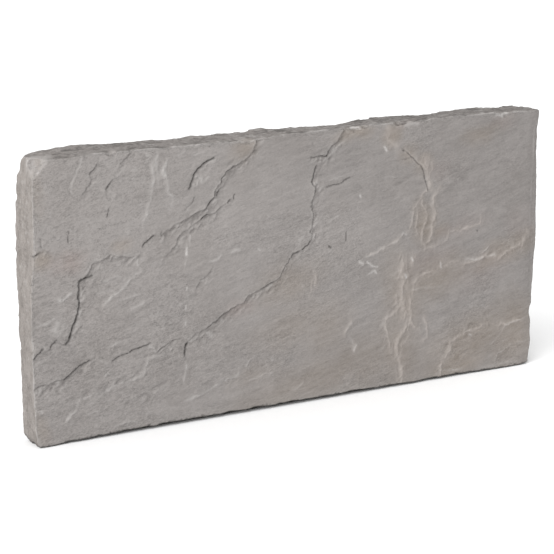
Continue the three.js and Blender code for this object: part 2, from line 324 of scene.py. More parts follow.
# Open cracks and pits.
CRACKS = drawn(
    # The hook, and the cracks at the left end.
    (2.4, 1.7, (-161, 397), (-171, 392), (-179, 388), (-187, 383), (-192, 377), (-195, 370), (-198, 362),
     (-201, 354)),
    (2.8, 1.8, (-362, 243), (-372, 240), (-382, 237), (-384, 227), (-385, 211), (-384, 199), (-387, 189),
     (-391, 179), (-396, 169), (-400, 157)),
    (2.4, 1.3, (-369, 120), (-379, 116), (-389, 110), (-399, 103), (-409, 98)),
    (0.8, 0.9, (-409, 98), (-424, 95), (-439, 93), (-451, 92)),
    (1.5, 1.3, (-421, 157), (-426, 152), (-431, 145)),
    (2, 1.4, (-443, 146), (-450, 140), (-456, 133)),
    # Along the long ledge and the leaf under it.
    (1.6, 1.2, (-125, 381), (-133, 376), (-140, 371)),
    (1.5, 1.1, (-141, 369), (-146, 363), (-145, 359)),
    (1.3, 1.2, (-150, 346), (-153, 339)),
    (1.5, 1.2, (-158, 338), (-165, 330), (-171, 324)),
    (1.2, 1.2, (-123, 338), (-125, 332)),
    (1.1, 1.3, (-131, 331), (-135, 327)),
    (1.2, 1.0, (-168, 313), (-175, 309), (-179, 305)),
    (0.55, 1.0, (-138, 326), (-151, 317), (-158, 312), (-180, 305), (-191, 301), (-205, 292), (-214, 288),
     (-219, 283), (-222, 276), (-226, 270)),
    (0.55, 1.1, (-193, 341), (-195, 335), (-201, 330), (-210, 322)),
    (1.8, 1.3, (-262, 291), (-268, 286), (-274, 282), (-280, 277)),
    (0.8, 1.1, (-249, 294), (-246, 287)),
    # Down the middle.
    (2, 1.2, (21, 370), (19, 364), (16, 354), (14, 345), (16, 339)),
    (1.3, 1.2, (20, 335), (19, 326)),
    (1, 1.0, (13, 316), (12, 307), (14, 300)),
    (1.2, 0.9, (11, 383), (24, 384), (40, 382), (43, 390)),
    (1.8, 1.3, (13, 255), (9, 251), (3, 246), (-3, 243)),
    # At the upper left.
    (1.2, 1.0, (-351, 406), (-353, 400), (-359, 395), (-364, 390)),
    (1.0, 0.9, (-362, 378), (-366, 372), (-370, 366), (-375, 363)),
    (1, 1.0, (-327, 378), (-334, 370), (-340, 365)),
    (1.1, 0.9, (-334, 338), (-337, 325)),
    (0.8, 1.0, (-298, 414), (-306, 407), (-316, 400)),
    # Low on the left.
    (1.3, 1.0, (-268, 132), (-285, 128), (-300, 124), (-309, 121), (-321, 118), (-331, 115)),
    (0.7, 0.9, (-216, 133), (-232, 130), (-240, 127), (-249, 121), (-258, 117)),
    (1.3, 1.4, (-455, 280), (-448, 284)),
    # Beside the veins.
    (0.8, 1.0, (183, 382), (191, 375), (204, 364), (214, 355), (222, 343), (226, 332), (229, 319),
     (231, 312)),
    (1.2, 1.5, (182, 382), (183, 380)),
    (0.5, 0.9, (179, 364), (187, 365), (195, 369)),
    (0.8, 1.0, (39, 335), (54, 337), (67, 339), (83, 346)),
    # Pits and ticks.
    (2.4, 1.8, (-207, 124), (-210, 117), (-211, 105)),
    (2.4, 1.9, (-397, 162), (-401, 152), (-406, 148)),
    (1.4, 1.1, (-443, 304), (-442, 293)),
    (0.8, 0.9, (-399, 312), (-400, 296)),
    (0.9, 1.0, (78, 260), (78, 249)),
    (0.9, 1.6, (46, 243), (49, 241)),
    (0.8, 1.3, (333, 238), (334, 237)),
    # Under the ledge that runs on to the lower left.
    (0.9, 1.1, (-8, 241), (-20, 238), (-27, 228), (-33, 222), (-38, 216), (-42, 205), (-50, 200),
     (-62, 196), (-75, 191), (-88, 185)),
    (0.75, 1.1, (-98, 183), (-107, 173), (-120, 170), (-134, 163), (-147, 158), (-168, 145), (-183, 139),
     (-200, 131), (-206, 126)),
    (0.4, 1.0, (-163, 232), (-165, 229), (-173, 220), (-183, 216), (-190, 207)),
)

# Pale veins, which stand a little proud where the softer stone beside them has weathered.
VEINS = drawn(
    # From the top to the neck.
    (0.35, 3.0, (149, 422), (157, 413), (151, 402), (161, 394), (175, 382)),
    (0.35, 2.0, (185, 380), (199, 370), (213, 359), (225, 347)),
    (0.55, 3.0, (225, 365), (227, 351), (232, 335), (234, 323), (236, 313)),
    (0.3, 1.5, (237, 359), (239, 348), (235, 337)),
    # The loops and their side arms.
    (0.4, 1.3, (237, 311), (227, 311), (221, 307), (217, 299), (213, 291), (206, 287), (205, 275),
     (202, 261), (198, 249)),
    (0.4, 1.3, (223, 305), (222, 293), (228, 283), (232, 271), (226, 257), (224, 243), (222, 233),
     (229, 225)),
    (0.3, 1.2, (214, 287), (213, 271), (212, 255), (216, 241)),
    (0.55, 2.0, (255, 315), (249, 306), (242, 299), (243, 289), (248, 277), (247, 265), (242, 255),
     (240, 241), (236, 229)),
    (0.4, 1.4, (230, 219), (244, 220), (258, 224), (272, 230), (275, 239)),
    (0.25, 1.2, (278, 241), (298, 242), (320, 245), (339, 250), (340, 258)),
    # The waist, the stem and the basin.
    (0.35, 1.3, (181, 216), (179, 203), (182, 193)),
    (0.45, 1.5, (207, 217), (208, 208), (206, 197)),
    (0.6, 4.5, (186, 201), (185, 179), (186, 159), (184, 139), (189, 123), (197, 109)),
    (0.55, 2.2, (210, 161), (206, 147), (202, 131), (204, 117), (203, 106), (209, 96), (217, 89)),
    (0.4, 1.5, (180, 130), (169, 122), (157, 114), (153, 104), (157, 95), (159, 83), (162, 71),
     (165, 59)),
    (0.6, 2.6, (197, 109), (195, 98), (187, 87), (179, 79), (175, 67), (178, 55), (183, 43), (185, 29),
     (188, 15), (186, 5)),
    (0.35, 1.4, (203, 106), (199, 93), (201, 83), (194, 73), (186, 66)),
    (0.35, 1.4, (229, 107), (235, 95), (237, 83), (236, 73), (229, 70)),
    # The light bands on the right.
    (0.3, 1.6, (206, 165), (218, 175), (232, 180), (247, 181)),
    (0.45, 1.3, (262, 195), (262, 184)),
    (0.3, 1.5, (270, 187), (284, 193), (298, 192)),
    (0.35, 1.5, (308, 185), (330, 188), (350, 194), (374, 194)),
    (0.35, 1.6, (378, 186), (394, 196), (412, 202), (425, 208)),
    (0.45, 1.8, (427, 198), (428, 210), (434, 220), (441, 225)),
    (0.45, 2.0, (265, 7), (266, 23), (274, 36), (282, 45), (286, 57)),
    (0.35, 1.8, (285, 59), (295, 65), (301, 69)),
    (0.3, 1.5, (307, 67), (317, 74), (331, 72), (345, 78), (361, 80)),
    (0.25, 1.5, (381, 70), (389, 78), (403, 72), (421, 78), (435, 74)),
    # Short ones in the middle.
    (0.3, 1.6, (22, 202), (21, 192), (21, 182)),
    (0.3, 1.2, (15, 194), (13, 178), (11, 166)),
    (0.3, 1.3, (89, 123), (83, 112), (76, 102)),
    (0.35, 1.6, (97, 81), (93, 70)),
    (0.25, 1.4, (120, 220), (140, 224), (152, 230), (170, 235), (181, 243)),
)

# Sharp little ridges where thin leaves end, paler than the worn stone beside them, with painted
# highlight.
RIDGES = drawn(
    # The tall ones at the upper left.
    (0.35, 3.0, (-254, 417), (-257, 395), (-253, 375), (-254, 362)),
    (0.5, 3.2, (-263, 397), (-260, 380), (-263, 360), (-266, 345), (-271, 330), (-274, 318), (-279, 306)),
    (0.5, 3.2, (-239, 402), (-246, 385), (-239, 370), (-238, 355), (-231, 345), (-229, 335), (-233, 328)),
    (0.2, 1.2, (-205, 275), (-206, 262), (-204, 254)),
    (0.28, 2.0, (-386, 359), (-392, 364), (-394, 373), (-392, 381), (-388, 389), (-384, 395), (-378, 407),
     (-373, 420)),
    # The fold and its lens.
    (0.55, 1.8, (-344, 200), (-330, 210), (-318, 215), (-305, 228), (-290, 238), (-280, 243)),
    (0.5, 2.2, (-290, 262), (-288, 250), (-283, 243)),
    (0.3, 1.3, (-346, 231), (-335, 235), (-322, 238), (-310, 235)),
    (0.25, 1.6, (-325, 202), (-310, 203), (-300, 206), (-285, 208)),
    (0.35, 1.8, (-300, 188), (-288, 190), (-277, 196)),
    (0.3, 1.3, (-268, 176), (-264, 171), (-257, 170), (-254, 175)),
    # At the left end.
    (0.4, 1.6, (-455, 179), (-440, 182), (-428, 185), (-421, 190)),
    (0.4, 4.5, (-424, 167), (-420, 175), (-414, 183)),
    (0.25, 4.0, (-420, 159), (-412, 171), (-408, 185)),
    (0.5, 2.0, (-420, 215), (-410, 213), (-402, 217), (-394, 223)),
    (0.3, 1.8, (-340, 134), (-325, 138), (-310, 141), (-304, 141)),
    (0.35, 1.6, (-344, 93), (-339, 96), (-334, 94)),
    # The long pale ridge.
    (0.38, 1.7, (-407, 33), (-400, 43), (-392, 47), (-389, 54), (-387, 61)),
    (0.35, 1.5, (-387, 62), (-374, 65), (-359, 69), (-347, 69), (-334, 73), (-329, 76), (-317, 79),
     (-307, 79)),
    (0.35, 1.8, (-307, 79), (-294, 82), (-282, 84), (-279, 90), (-277, 98), (-274, 105), (-267, 110)),
    (0.3, 2.0, (-274, 108), (-261, 111), (-244, 111), (-235, 117), (-231, 125), (-225, 130)),
    # Beside it.
    (0.45, 2.2, (-272, 129), (-266, 124), (-260, 117)),
    (0.3, 1.2, (-374, 39), (-361, 42), (-355, 39)),
    (0.35, 1.5, (-329, 12), (-324, 15), (-309, 17), (-291, 15)),
    (0.2, 1.5, (-259, 26), (-244, 28), (-224, 27)),
    (0.3, 1.9, (-213, 62), (-212, 72), (-209, 80), (-207, 92)),
    # Beside the hook and the ledges.
    (0.3, 1.6, (-223, 405), (-216, 407), (-209, 408)),
    (0.3, 1.6, (-197, 404), (-186, 405), (-175, 407)),
    (0.35, 1.8, (-191, 373), (-188, 365), (-187, 357)),
    (0.3, 2.2, (-186, 373), (-179, 363), (-172, 367), (-167, 372)),
    (0.35, 1.8, (-170, 241), (-158, 244), (-150, 249), (-144, 252)),
    (0.4, 1.8, (-132, 251), (-122, 255), (-112, 253)),
    (0.3, 1.8, (-198, 285), (-199, 276), (-200, 268)),
    (0.35, 1.6, (-203, 257), (-207, 247), (-209, 240)),
    (0.35, 3.0, (0, 265), (-8, 257), (-12, 249)),
    (0.3, 1.5, (-88, 182), (-75, 186), (-62, 192), (-55, 195)),
    (0.4, 1.8, (-147, 152), (-143, 146)),
    (0.35, 2.0, (-174, 137), (-166, 130), (-161, 126)),
    # Along the foot.
    (0.4, 1.7, (-112, 73), (-115, 66), (-122, 61), (-137, 58), (-147, 55), (-156, 51), (-169, 46),
     (-184, 42), (-199, 37), (-211, 36)),
    (0.35, 1.5, (-103, 73), (-101, 80), (-97, 83)),
    (0.35, 1.8, (-59, 84), (-56, 76)),
    (0.3, 1.2, (-99, 51), (-84, 54), (-69, 57), (-57, 57)),
    (0.25, 1.8, (-19, 24), (-9, 27), (1, 33)),
    # In the middle.
    (0.25, 1.3, (32, 345), (49, 346), (64, 348), (74, 349)),
    (0.35, 2.2, (45, 280), (55, 285), (62, 289)),
    (0.25, 1.4, (146, 340), (159, 341), (171, 339), (185, 341)),
    (0.25, 1.7, (113, 216), (120, 218), (135, 222), (150, 229), (160, 232), (175, 236), (182, 243)),
    (0.3, 1.6, (182, 243), (186, 249), (195, 246)),
    (0.3, 1.8, (91, 119), (85, 112), (80, 106), (76, 102)),
    (0.25, 1.8, (85, 94), (89, 88), (92, 82)),
    (0.3, 2.2, (98, 82), (95, 76), (93, 70)),
    # On the right.
    (0.3, 1.8, (308, 193), (325, 192), (340, 190), (350, 194)),
    (0.3, 1.8, (352, 192), (362, 193), (370, 196), (374, 194)),
    (0.3, 1.4, (345, 200), (352, 205), (358, 207)),
    (0.2, 1.2, (446, 396), (446, 350), (444, 300), (443, 262), (443, 228)),
    (0.35, 1.2, (265, 15), (281, 12), (299, 12), (311, 9)),
    (0.15, 1.4, (205, 155), (225, 156), (245, 154), (265, 156)),
    (0.22, 1.6, (450, 41), (428, 40), (409, 37), (392, 30), (380, 24), (378, 13)),
    (0.2, 1.5, (446, 82), (428, 77), (412, 76), (397, 73), (390, 62), (387, 57), (378, 50), (367, 43)),
    (0.2, 1.4, (431, 6), (400, 9), (365, 7), (341, 8)),
)

# Bright bruises where a tool or another stone has struck the face.
BRUISES = drawn(
    # The arrow.
    (0.8, 1.5, (103, 212), (110, 209)),
    (0.6, 1.3, (117, 210), (121, 207), (127, 202), (137, 199)),
    (0.55, 1.2, (120, 191), (126, 192), (132, 195), (137, 189)),
    # Single knocks.
    (0.9, 1.8, (191, 181), (193, 177)),
    (0.9, 2.2, (146, 388), (150, 382)),
    (0.5, 1.6, (322, 66), (327, 65)),
    (0.8, 1.6, (-447, 56), (-445, 54)),
    (0.6, 1.2, (-81, 253), (-79, 249)),
    # The row down the left.
    (1.1, 1.5, (-205, 267), (-206, 257)),
    (0.7, 1.2, (-207, 208), (-207, 204)),
    (0.7, 1.2, (-208, 181), (-208, 176)),
    (0.7, 1.2, (-209, 156), (-209, 151)),
    (0.5, 1.2, (-209, 90), (-209, 84)),
    # Along the top arris.
    (0.8, 2.2, (365, 423), (377, 420), (391, 424)),
    (0.9, 2.0, (86, 422), (100, 421)),
    (0.5, 1.2, (105, 425), (149, 423)),
    (0.5, 2.4, (185, 419), (195, 422), (208, 420)),
    # Small flecks.
    (0.7, 1.8, (205, 208), (208, 203)),
    (0.6, 1.4, (262, 192), (263, 184)),
    (0.6, 1.4, (102, 318), (104, 314)),
)


class Tint(Enum):
    """The stains of iron and silt in the stone, and its paler and darker clouds."""

    RUST = "rust"
    ROSE = "rose"
    PALE = "pale"
    SHADE = "shade"


@dataclass(frozen=True)
class Stain:
    """One soft-edged stain on the show face, in millimetres.

    Attributes:
        place: its middle, as (x, z).
        size: half its length in the bedding and half its width across it.
        strength: how strong it is in the middle, from 0 to 1.
    """

    place: tuple[float, float]
    size: tuple[float, float]
    strength: float


STAINS = {
    Tint.RUST: (
        Stain((-315, 280), (16, 12), 0.6), Stain((-446, 271), (14, 12), 0.9),
        Stain((-447, 369), (10, 30), 0.4), Stain((-108, 405), (20, 16), 0.8),
        Stain((87, 412), (30, 12), 0.9), Stain((-30, 191), (52, 26), 0.6),
        Stain((-20, 126), (60, 26), 0.5), Stain((-87, 59), (40, 14), 0.4),
        Stain((31, 37), (150, 30), 0.6), Stain((41, 112), (40, 40), 0.5),
        Stain((161, 407), (18, 16), 1.0), Stain((195, 375), (16, 12), 0.7),
        Stain((224, 353), (16, 14), 0.7), Stain((225, 258), (18, 32), 0.9),
        Stain((258, 243), (18, 14), 0.7), Stain((190, 153), (32, 60), 0.8),
        Stain((250, 168), (60, 26), 0.8), Stain((395, 199), (60, 18), 0.9),
        Stain((179, 63), (40, 60), 0.7), Stain((331, 59), (90, 34), 0.9),
        Stain((301, 25), (60, 22), 1.0), Stain((415, 60), (46, 52), 0.9),
        Stain((334, 392), (34, 12), 0.7), Stain((-447, 27), (10, 24), 0.6),
        Stain((120, 50), (70, 40), 0.5),
    ),
    Tint.ROSE: (
        Stain((-402, 267), (28, 14), 1.0), Stain((-118, 164), (22, 10), 0.9),
        Stain((191, 421), (18, 5), 0.7), Stain((254, 345), (18, 14), 0.4),
        Stain((300, 243), (46, 14), 0.5), Stain((240, 203), (46, 20), 0.5),
        Stain((345, 169), (50, 26), 0.4), Stain((381, 414), (22, 10), 0.6),
        Stain((420, 244), (26, 24), 0.4),
    ),
    Tint.PALE: (
        Stain((74, 252), (56, 42), 0.95), Stain((212, 318), (40, 44), 0.45),
        Stain((-155, 390), (30, 20), 0.4), Stain((-325, 312), (64, 36), 0.4),
    ),
    Tint.SHADE: (
        Stain((50, 376), (62, 20), 0.9), Stain((-418, 128), (34, 60), 0.85),
        Stain((-35, 132), (50, 20), 0.5),
    ),
}


@dataclass(frozen=True)
class ShowFace:
    """The relief and markings of the riven show face, in millimetres.

    Places on the face are rows of (x, z).

    Attributes:
        bedding_rise: angle at which the riving grain climbs towards +X, in degrees.
        leaf: thickness of the thin leaves, whose edges show as contour lines.
        jag: how far a broken edge wanders from its line.
        shares: how the drop of a step is shared by the leaves that break behind each other.
        crumb: how rough the broken ground is beside a step.
        rough_ground: how rough the left part of the face is, which was riven badly.
        rough_from: where along the stone that part begins, and where it is at its worst.
        lip: share of a step that its edge stands up, and how far that reaches.
        groove: share of a step, place behind it and width of the groove along its foot.
        broken: middle and width of the broken ground behind a step.
        thread: size of the threads that a broad vein is made of.
        curl: size of the ridges that curl over the rough ground.
        striae: depth of the tool's lines along the bevelled right end.
        striae_from: where along the stone those lines begin, and where they are full.
        level: height above which whatever stands proud is pressed down.
    """

    bedding_rise: float = BEDDING_RISE
    leaf: float = 0.8
    jag: float = 2.2
    shares: tuple[float, ...] = (0.5, 0.28, 0.22)
    crumb: float = 2.0
    rough_ground: float = 0.2
    rough_from: tuple[float, float] = (-150.0, -330.0)
    lip: tuple[float, float] = (0.12, 7.0)
    groove: tuple[float, float, float] = (0.25, 1.0, 0.9)
    broken: tuple[float, float] = (5.0, 9.0)
    thread: float = 9.0
    curl: float = 15.0
    striae: float = 0.35
    striae_from: tuple[float, float] = (432.0, 440.0)
    level: float = 1.1

    def grain(self, points: np.ndarray, stretch: float, more: float = 0.0) -> np.ndarray:
        """Turns places on the face to the grain and presses them together along it.

        Args:
            points: places on the face.
            stretch: how much longer the grain is than it is wide.
            more: how much more steeply it climbs than the bedding, in degrees.

        Returns:
            The places as (along the grain, across it).
        """
        rise = math.radians(self.bedding_rise + more)
        along = points[:, 0] * math.cos(rise) + points[:, 1] * math.sin(rise)
        across = points[:, 1] * math.cos(rise) - points[:, 0] * math.sin(rise)
        return np.stack([along / stretch, across], 1)

    def riven(self, points: np.ndarray, seed: float) -> np.ndarray:
        """The broad rise and fall of a riven face, the same as in the solid.

        Args:
            points: places on the face.
            seed: number that shifts the waves.

        Returns:
            One value from -1 to 1 for each point.
        """
        along, across = self.grain(points, 1.0).T
        broad = np.sin(along / 118 + across / 71 + seed)
        middle = np.sin(across / 37 - along / 190 + 2.3 * seed)
        fine = np.sin(along / 43 + across / 19 + 4.1 * seed)
        return 0.5 * broad + 0.3 * middle + 0.2 * fine

    def leaves(self, points: np.ndarray) -> np.ndarray:
        """The low terraces that the edges of thin leaves make on a riven face.

        Args:
            points: places on the face.

        Returns:
            How far each point stands out.
        """
        height, part = self.layers(points)
        terrace = height - self.leaf * (part - smooth(0.88, 1.0, part))
        crisp = smooth(-0.3, 0.4, noise(points, 61.0, Seed.LEAF + 3))
        rough = 0.16 * layered(self.grain(points, 1.8), 8.0, Seed.LEAF + 4, 3)
        rough *= smooth(-0.2, 0.6, noise(points, 80.0, Seed.LEAF + 7))
        return 0.75 * (height + (terrace - height) * crisp) + rough

    def layers(self, points: np.ndarray) -> tuple[np.ndarray, np.ndarray]:
        """Cuts a gently waving face into its thin leaves.

        Args:
            points: places on the face.

        Returns:
            The height of the uncut face, and how far through its leaf each point lies,
            from 0 to 1.
        """
        place = self.grain(points, 3.0)
        height = 0.8 * noise(place, 52.0, Seed.LEAF) + 0.5 * noise(place, 23.0, Seed.LEAF + 1)
        height += 0.25 * layered(place, 9.0, Seed.LEAF + 2, 2)
        count = height / self.leaf
        return height, count - np.floor(count)

    def leaf_ends(self, points: np.ndarray) -> np.ndarray:
        """How freshly a thin leaf ends at each point, from 0 to 1."""
        broken = smooth(-0.1, 0.7, layered(points, 30.0, Seed.LEAF + 9, 3))
        return broken * hump(self.layers(points)[1] - 0.93, 0.05)

    def crumbs(self, points: np.ndarray) -> np.ndarray:
        """The splinters of broken ground, which lie along the ledges, from -1 to 1."""
        return layered(self.grain(points, 2.4, 27.0), 4.6, Seed.CRUMB, 3, 0.7)

    def wander(self, points: np.ndarray) -> np.ndarray:
        """Moves places to and fro so that a line drawn there comes out ragged."""
        return points + self.jag * sway(points, 11.0, Seed.WANDER, 3, 0.8)

    def roughness(self, points: np.ndarray) -> np.ndarray:
        """How badly the face was riven, most of all on its left.

        Args:
            points: places on the face.

        Returns:
            One value from 0 to 1 for each point.
        """
        patchy = 90.0 * noise(points, 70.0, Seed.RIVING)
        left = smooth(*self.rough_from, points[:, 0] + patchy)
        patches = smooth(0.1, 0.7, noise(points, 64.0, Seed.PATCH))
        return np.maximum(left, 0.6 * patches)

    @staticmethod
    def setbacks(points: np.ndarray) -> list[np.ndarray]:
        """How far behind the line of a step each of its leaves has broken off."""
        return [np.zeros(len(points)), 1.6 + 1.5 * noise(points, 15.0, Seed.SETBACK),
                4.6 + 3.6 * noise(points, 27.0, Seed.SETBACK + 1)]

    @staticmethod
    def gape(points: np.ndarray) -> np.ndarray:
        """How far the ledges and cracks gape at each point, from 0 to 1."""
        return smooth(-0.5, 0.5, noise(points, 24.0, Seed.GAPE))

    @staticmethod
    def swelling(share: np.ndarray) -> np.ndarray:
        """How full a step is at a share of the way along it, from 0 at its ends."""
        return np.clip(np.sin(math.pi * share), 0.0, 1.0) ** 0.45

    def relief(self, points: np.ndarray, waves: np.ndarray, depth: float = 1.0
               ) -> np.ndarray:
        """How far a riven face stands out from its plane at each point.

        Args:
            points: places on the face.
            waves: the broad rise and fall of the face at each of them.
            depth: depth of its ledges and cracks against those of the show face.

        Returns:
            The height of the face, with steps and cracks below 0.
        """
        height = self.leaves(points)
        ragged = self.wander(points)
        crumbs = self.crumbs(points)
        height += self.rough_ground * self.roughness(points) * crumbs
        self.break_ledges(height, points, ragged, crumbs)
        for crack in CRACKS:
            side, share, index = crack.near(ragged)
            full = crack.depth * (0.35 + 0.65 * tapered(share, 0.15))
            height[index] -= full * hump(side, crack.reach)
        for group in (VEINS, RIDGES):
            for index, there, line in self.raised(group, points, ragged):
                height[index] += 2.2 * line.depth * there * (0.9 + 0.9 * crumbs[index])
        height += 0.9 * self.threads(points, ragged) + 0.5 * self.curls(points)
        striped = smooth(*self.striae_from, points[:, 0])
        height += self.striae * striped * noise(points / (1.0, 22.0), 3.4, Seed.STRIAE)
        height = waves + depth * height
        proud = np.maximum(height - self.level, 0.0)
        return height - proud + self.level * np.tanh(proud / self.level)

    def break_ledges(self, height: np.ndarray, points: np.ndarray, ragged: np.ndarray,
                     crumbs: np.ndarray) -> None:
        """Lowers the ground behind each step, leaf by leaf.

        Args:
            height: height of the face at each point, which is changed.
            points: places on the face.
            ragged: the same places after they have wandered.
            crumbs: height of the splinters there, from -1 to 1.
        """
        uneven = 0.45 + 0.55 * smooth(-0.5, 0.4, noise(points, 31.0, Seed.UNEVEN))
        setbacks = self.setbacks(points)
        gape = self.gape(points)
        lip, lip_reach = self.lip
        groove, behind, width = self.groove
        middle, spread = self.broken
        for step in STEPS:
            side, share, index = step.near(ragged)
            full = step.depth * self.swelling(share) * uneven[index]
            reach = step.reach * (0.3 + 0.7 * self.swelling(share))
            fall = np.clip(1.0 - side / reach, 0.0, 1.0) ** 1.6
            drop = np.zeros(len(index))
            for part, setback in zip(self.shares, setbacks):
                drop += part * fall * smooth(-0.5, 0.6, side - setback[index])
            drop += groove * gape[index] * hump(side - behind, width)
            drop -= np.where(side < 0.0, lip * np.exp(np.minimum(side, 0.0) / lip_reach), 0.0)
            near = hump(side - middle, spread) * np.minimum(full / 1.6, 1.0)
            height[index] += self.crumb * near * crumbs[index] - full * drop

    def curls(self, points: np.ndarray) -> np.ndarray:
        """The short pale ridges that curl over badly riven ground.

        Args:
            points: places on the face.

        Returns:
            How strongly a ridge shows at each point, from 0 to 1.
        """
        place = self.grain(self.wander(points), 1.5)
        ridge = hump(layered(place, self.curl, Seed.CURL, 3, 0.6), 0.12)
        shown = smooth(0.15, 0.5, layered(points, 18.0, Seed.CURLED, 2))
        return ridge * shown * (0.35 + 0.65 * self.roughness(points))

    def threads(self, points: np.ndarray, ragged: np.ndarray) -> np.ndarray:
        """The fine branching threads in the soft ground on both sides of the veins.

        Args:
            points: places on the face.
            ragged: the same places after they have wandered.

        Returns:
            How strongly a thread shows at each point, from 0 to 1.
        """
        ground = np.zeros(len(points))
        for vein in VEINS:
            side, _, index = vein.near(ragged)
            overlay(ground, index, vein.depth * 1.8 * hump(side, 2.0 * vein.reach + 3.0))
        web = layered(ragged / (1.0, 2.2), self.thread, Seed.THREAD, 2)
        return np.minimum(ground, 1.0) * hump(web, 0.2)

    @staticmethod
    def raised(group: tuple[Line, ...], points: np.ndarray, ragged: np.ndarray
               ) -> list[tuple[np.ndarray, np.ndarray, Line]]:
        """Finds how strongly each vein or ridge shows near its line.

        Args:
            group: the lines to look at.
            points: places on the face.
            ragged: the same places after they have wandered.

        Returns:
            For each line, the indices of the points near it, its strength there from 0 to
            1, and the line.
        """
        crooked = ragged + 1.3 * sway(points, 6.0, Seed.CROOKED, 2)
        width = 1.1 + 0.55 * noise(points, 13.0, Seed.WIDTH)
        showing = 0.45 + 0.55 * smooth(-0.6, 0.3, layered(points, 15.0, Seed.SHOWING, 2))
        found = []
        for line in group:
            side, share, index = line.near(crooked)
            there = hump(side, line.reach * width[index]) * showing[index]
            found.append((index, there * (0.4 + 0.6 * tapered(share, 0.12)), line))
        return found

    def markings(self, points: np.ndarray) -> dict[str, np.ndarray]:
        """What colours the face at each point, painted shade and highlight among it.

        Args:
            points: places on the face.

        Returns:
            The strength from 0 to 1 of each marking.
        """
        marks = {name: np.zeros(len(points)) for name in MARKS}
        ragged = self.wander(points)
        for index, there, _ in self.raised(VEINS, points, ragged):
            overlay(marks["vein"], index, there)
        for vein in VEINS:
            side, _, index = vein.near(ragged)
            overlay(marks["vein"], index, vein.depth * hump(side, 2.0 * vein.reach))
        overlay(marks["vein"], ..., 0.9 * self.threads(points, ragged))
        # Pale ridges: paler stone with painted highlight on them.
        for index, there, ridge in self.raised(RIDGES, points, ragged):
            overlay(marks["edge"], index, np.minimum(1.7 * ridge.depth * there, 1.0))
        for bruise in BRUISES:
            side, _, index = bruise.near(ragged)
            overlay(marks["edge"], index, 1.5 * bruise.depth * hump(side, bruise.reach))
        # Pale newly broken leaf ends and curls, with painted highlight on them.
        fresh_and_highlight = 0.3 * self.leaf_ends(points) * (0.5 + self.roughness(points))
        overlay(marks["edge"], ..., np.maximum(fresh_and_highlight, 0.2 * self.curls(points)))
        self.mark_breaks(marks, points, ragged)
        drift = 9.0 * sway(points, 34.0, Seed.STAIN, 3)
        for tint, stains in STAINS.items():
            for stain in stains:
                offset = self.grain(points - np.array(stain.place), 1.0) + drift
                gap = np.hypot(offset[:, 0] / stain.size[0], offset[:, 1] / stain.size[1])
                there = stain.strength * np.clip(1.25 - 0.75 * gap, 0.0, 1.0)
                overlay(marks[tint.value], ..., there)
        return marks

    def mark_breaks(self, marks: dict[str, np.ndarray], points: np.ndarray,
                    ragged: np.ndarray) -> None:
        """Paints shade into cracks and ledge feet, and pales broken ground with painted highlight.

        Args:
            marks: the markings so far, which are changed.
            points: places on the face.
            ragged: the same places after they have wandered.
        """
        setbacks = self.setbacks(points)
        gape = self.gape(points)
        crumbs = self.crumbs(points)
        chips = smooth(0.05, 0.4, crumbs)
        holes = smooth(0.1, 0.5, -crumbs)
        for step in STEPS:
            side, share, index = step.near(ragged)
            strength = np.minimum(step.depth / 3.4, 0.85) * self.swelling(share)
            for part, setback in zip(self.shares, setbacks):
                # Painted shade at the foot of each leaf's drop.
                dark = hump(side - setback[index] - 0.8, 1.0)
                dark *= strength * (0.1 + 0.55 * gape[index]) * min(2.0 * part, 1.0)
                overlay(marks["crevice_shade"], index, dark)
            # Painted shade in sunken crumbs; pale lips and raised chips, newly broken stone with painted
            # highlight.
            broken = strength * hump(side - 5.0, 8.0)
            overlay(marks["crevice_shade"], index, 0.35 * broken * holes[index])
            rubble = smooth(0.0, 1.0, side) * hump(side, 11.0) * chips[index]
            pale = np.maximum(0.45 * hump(side + 1.8, 1.3), 0.8 * rubble)
            overlay(marks["edge"], index, strength * pale)
        for crack in CRACKS:
            # Painted shade along the cracks.
            side, _, index = crack.near(ragged)
            dark = np.minimum(crack.depth * (0.55 + 0.5 * gape[index]), 1.0)
            overlay(marks["crevice_shade"], index, dark * hump(side, 0.9 * crack.reach))


@dataclass(frozen=True)
class Corner:
    """A corner knocked off flat: a point on the break and the way it faces."""

    at: tuple[float, float, float]
    faces: tuple[float, float, float]


@dataclass(frozen=True)
class Scoop:
    """A flake out of an arris: a point on it, the way it faces, its depth and radius."""

    at: tuple[float, float, float]
    faces: tuple[float, float, float]
    depth: float
    radius: float


CORNERS = (
    Corner((-441, -20, 405), (-0.62, -0.52, 0.59)),
    Corner((-449, 16, 412), (-0.66, 0.3, 0.69)),
    Corner((-453, -24, 3), (-0.55, -0.45, -0.7)),
    Corner((457, -10, 425), (0.6, -0.1, 0.79)),
    Corner((449, -25, 5), (0.62, -0.4, -0.68)),
    Corner((446, 21, 14), (0.6, 0.6, -0.53)),
    Corner((-457, 25, 3), (-0.62, 0.6, -0.5)),
)

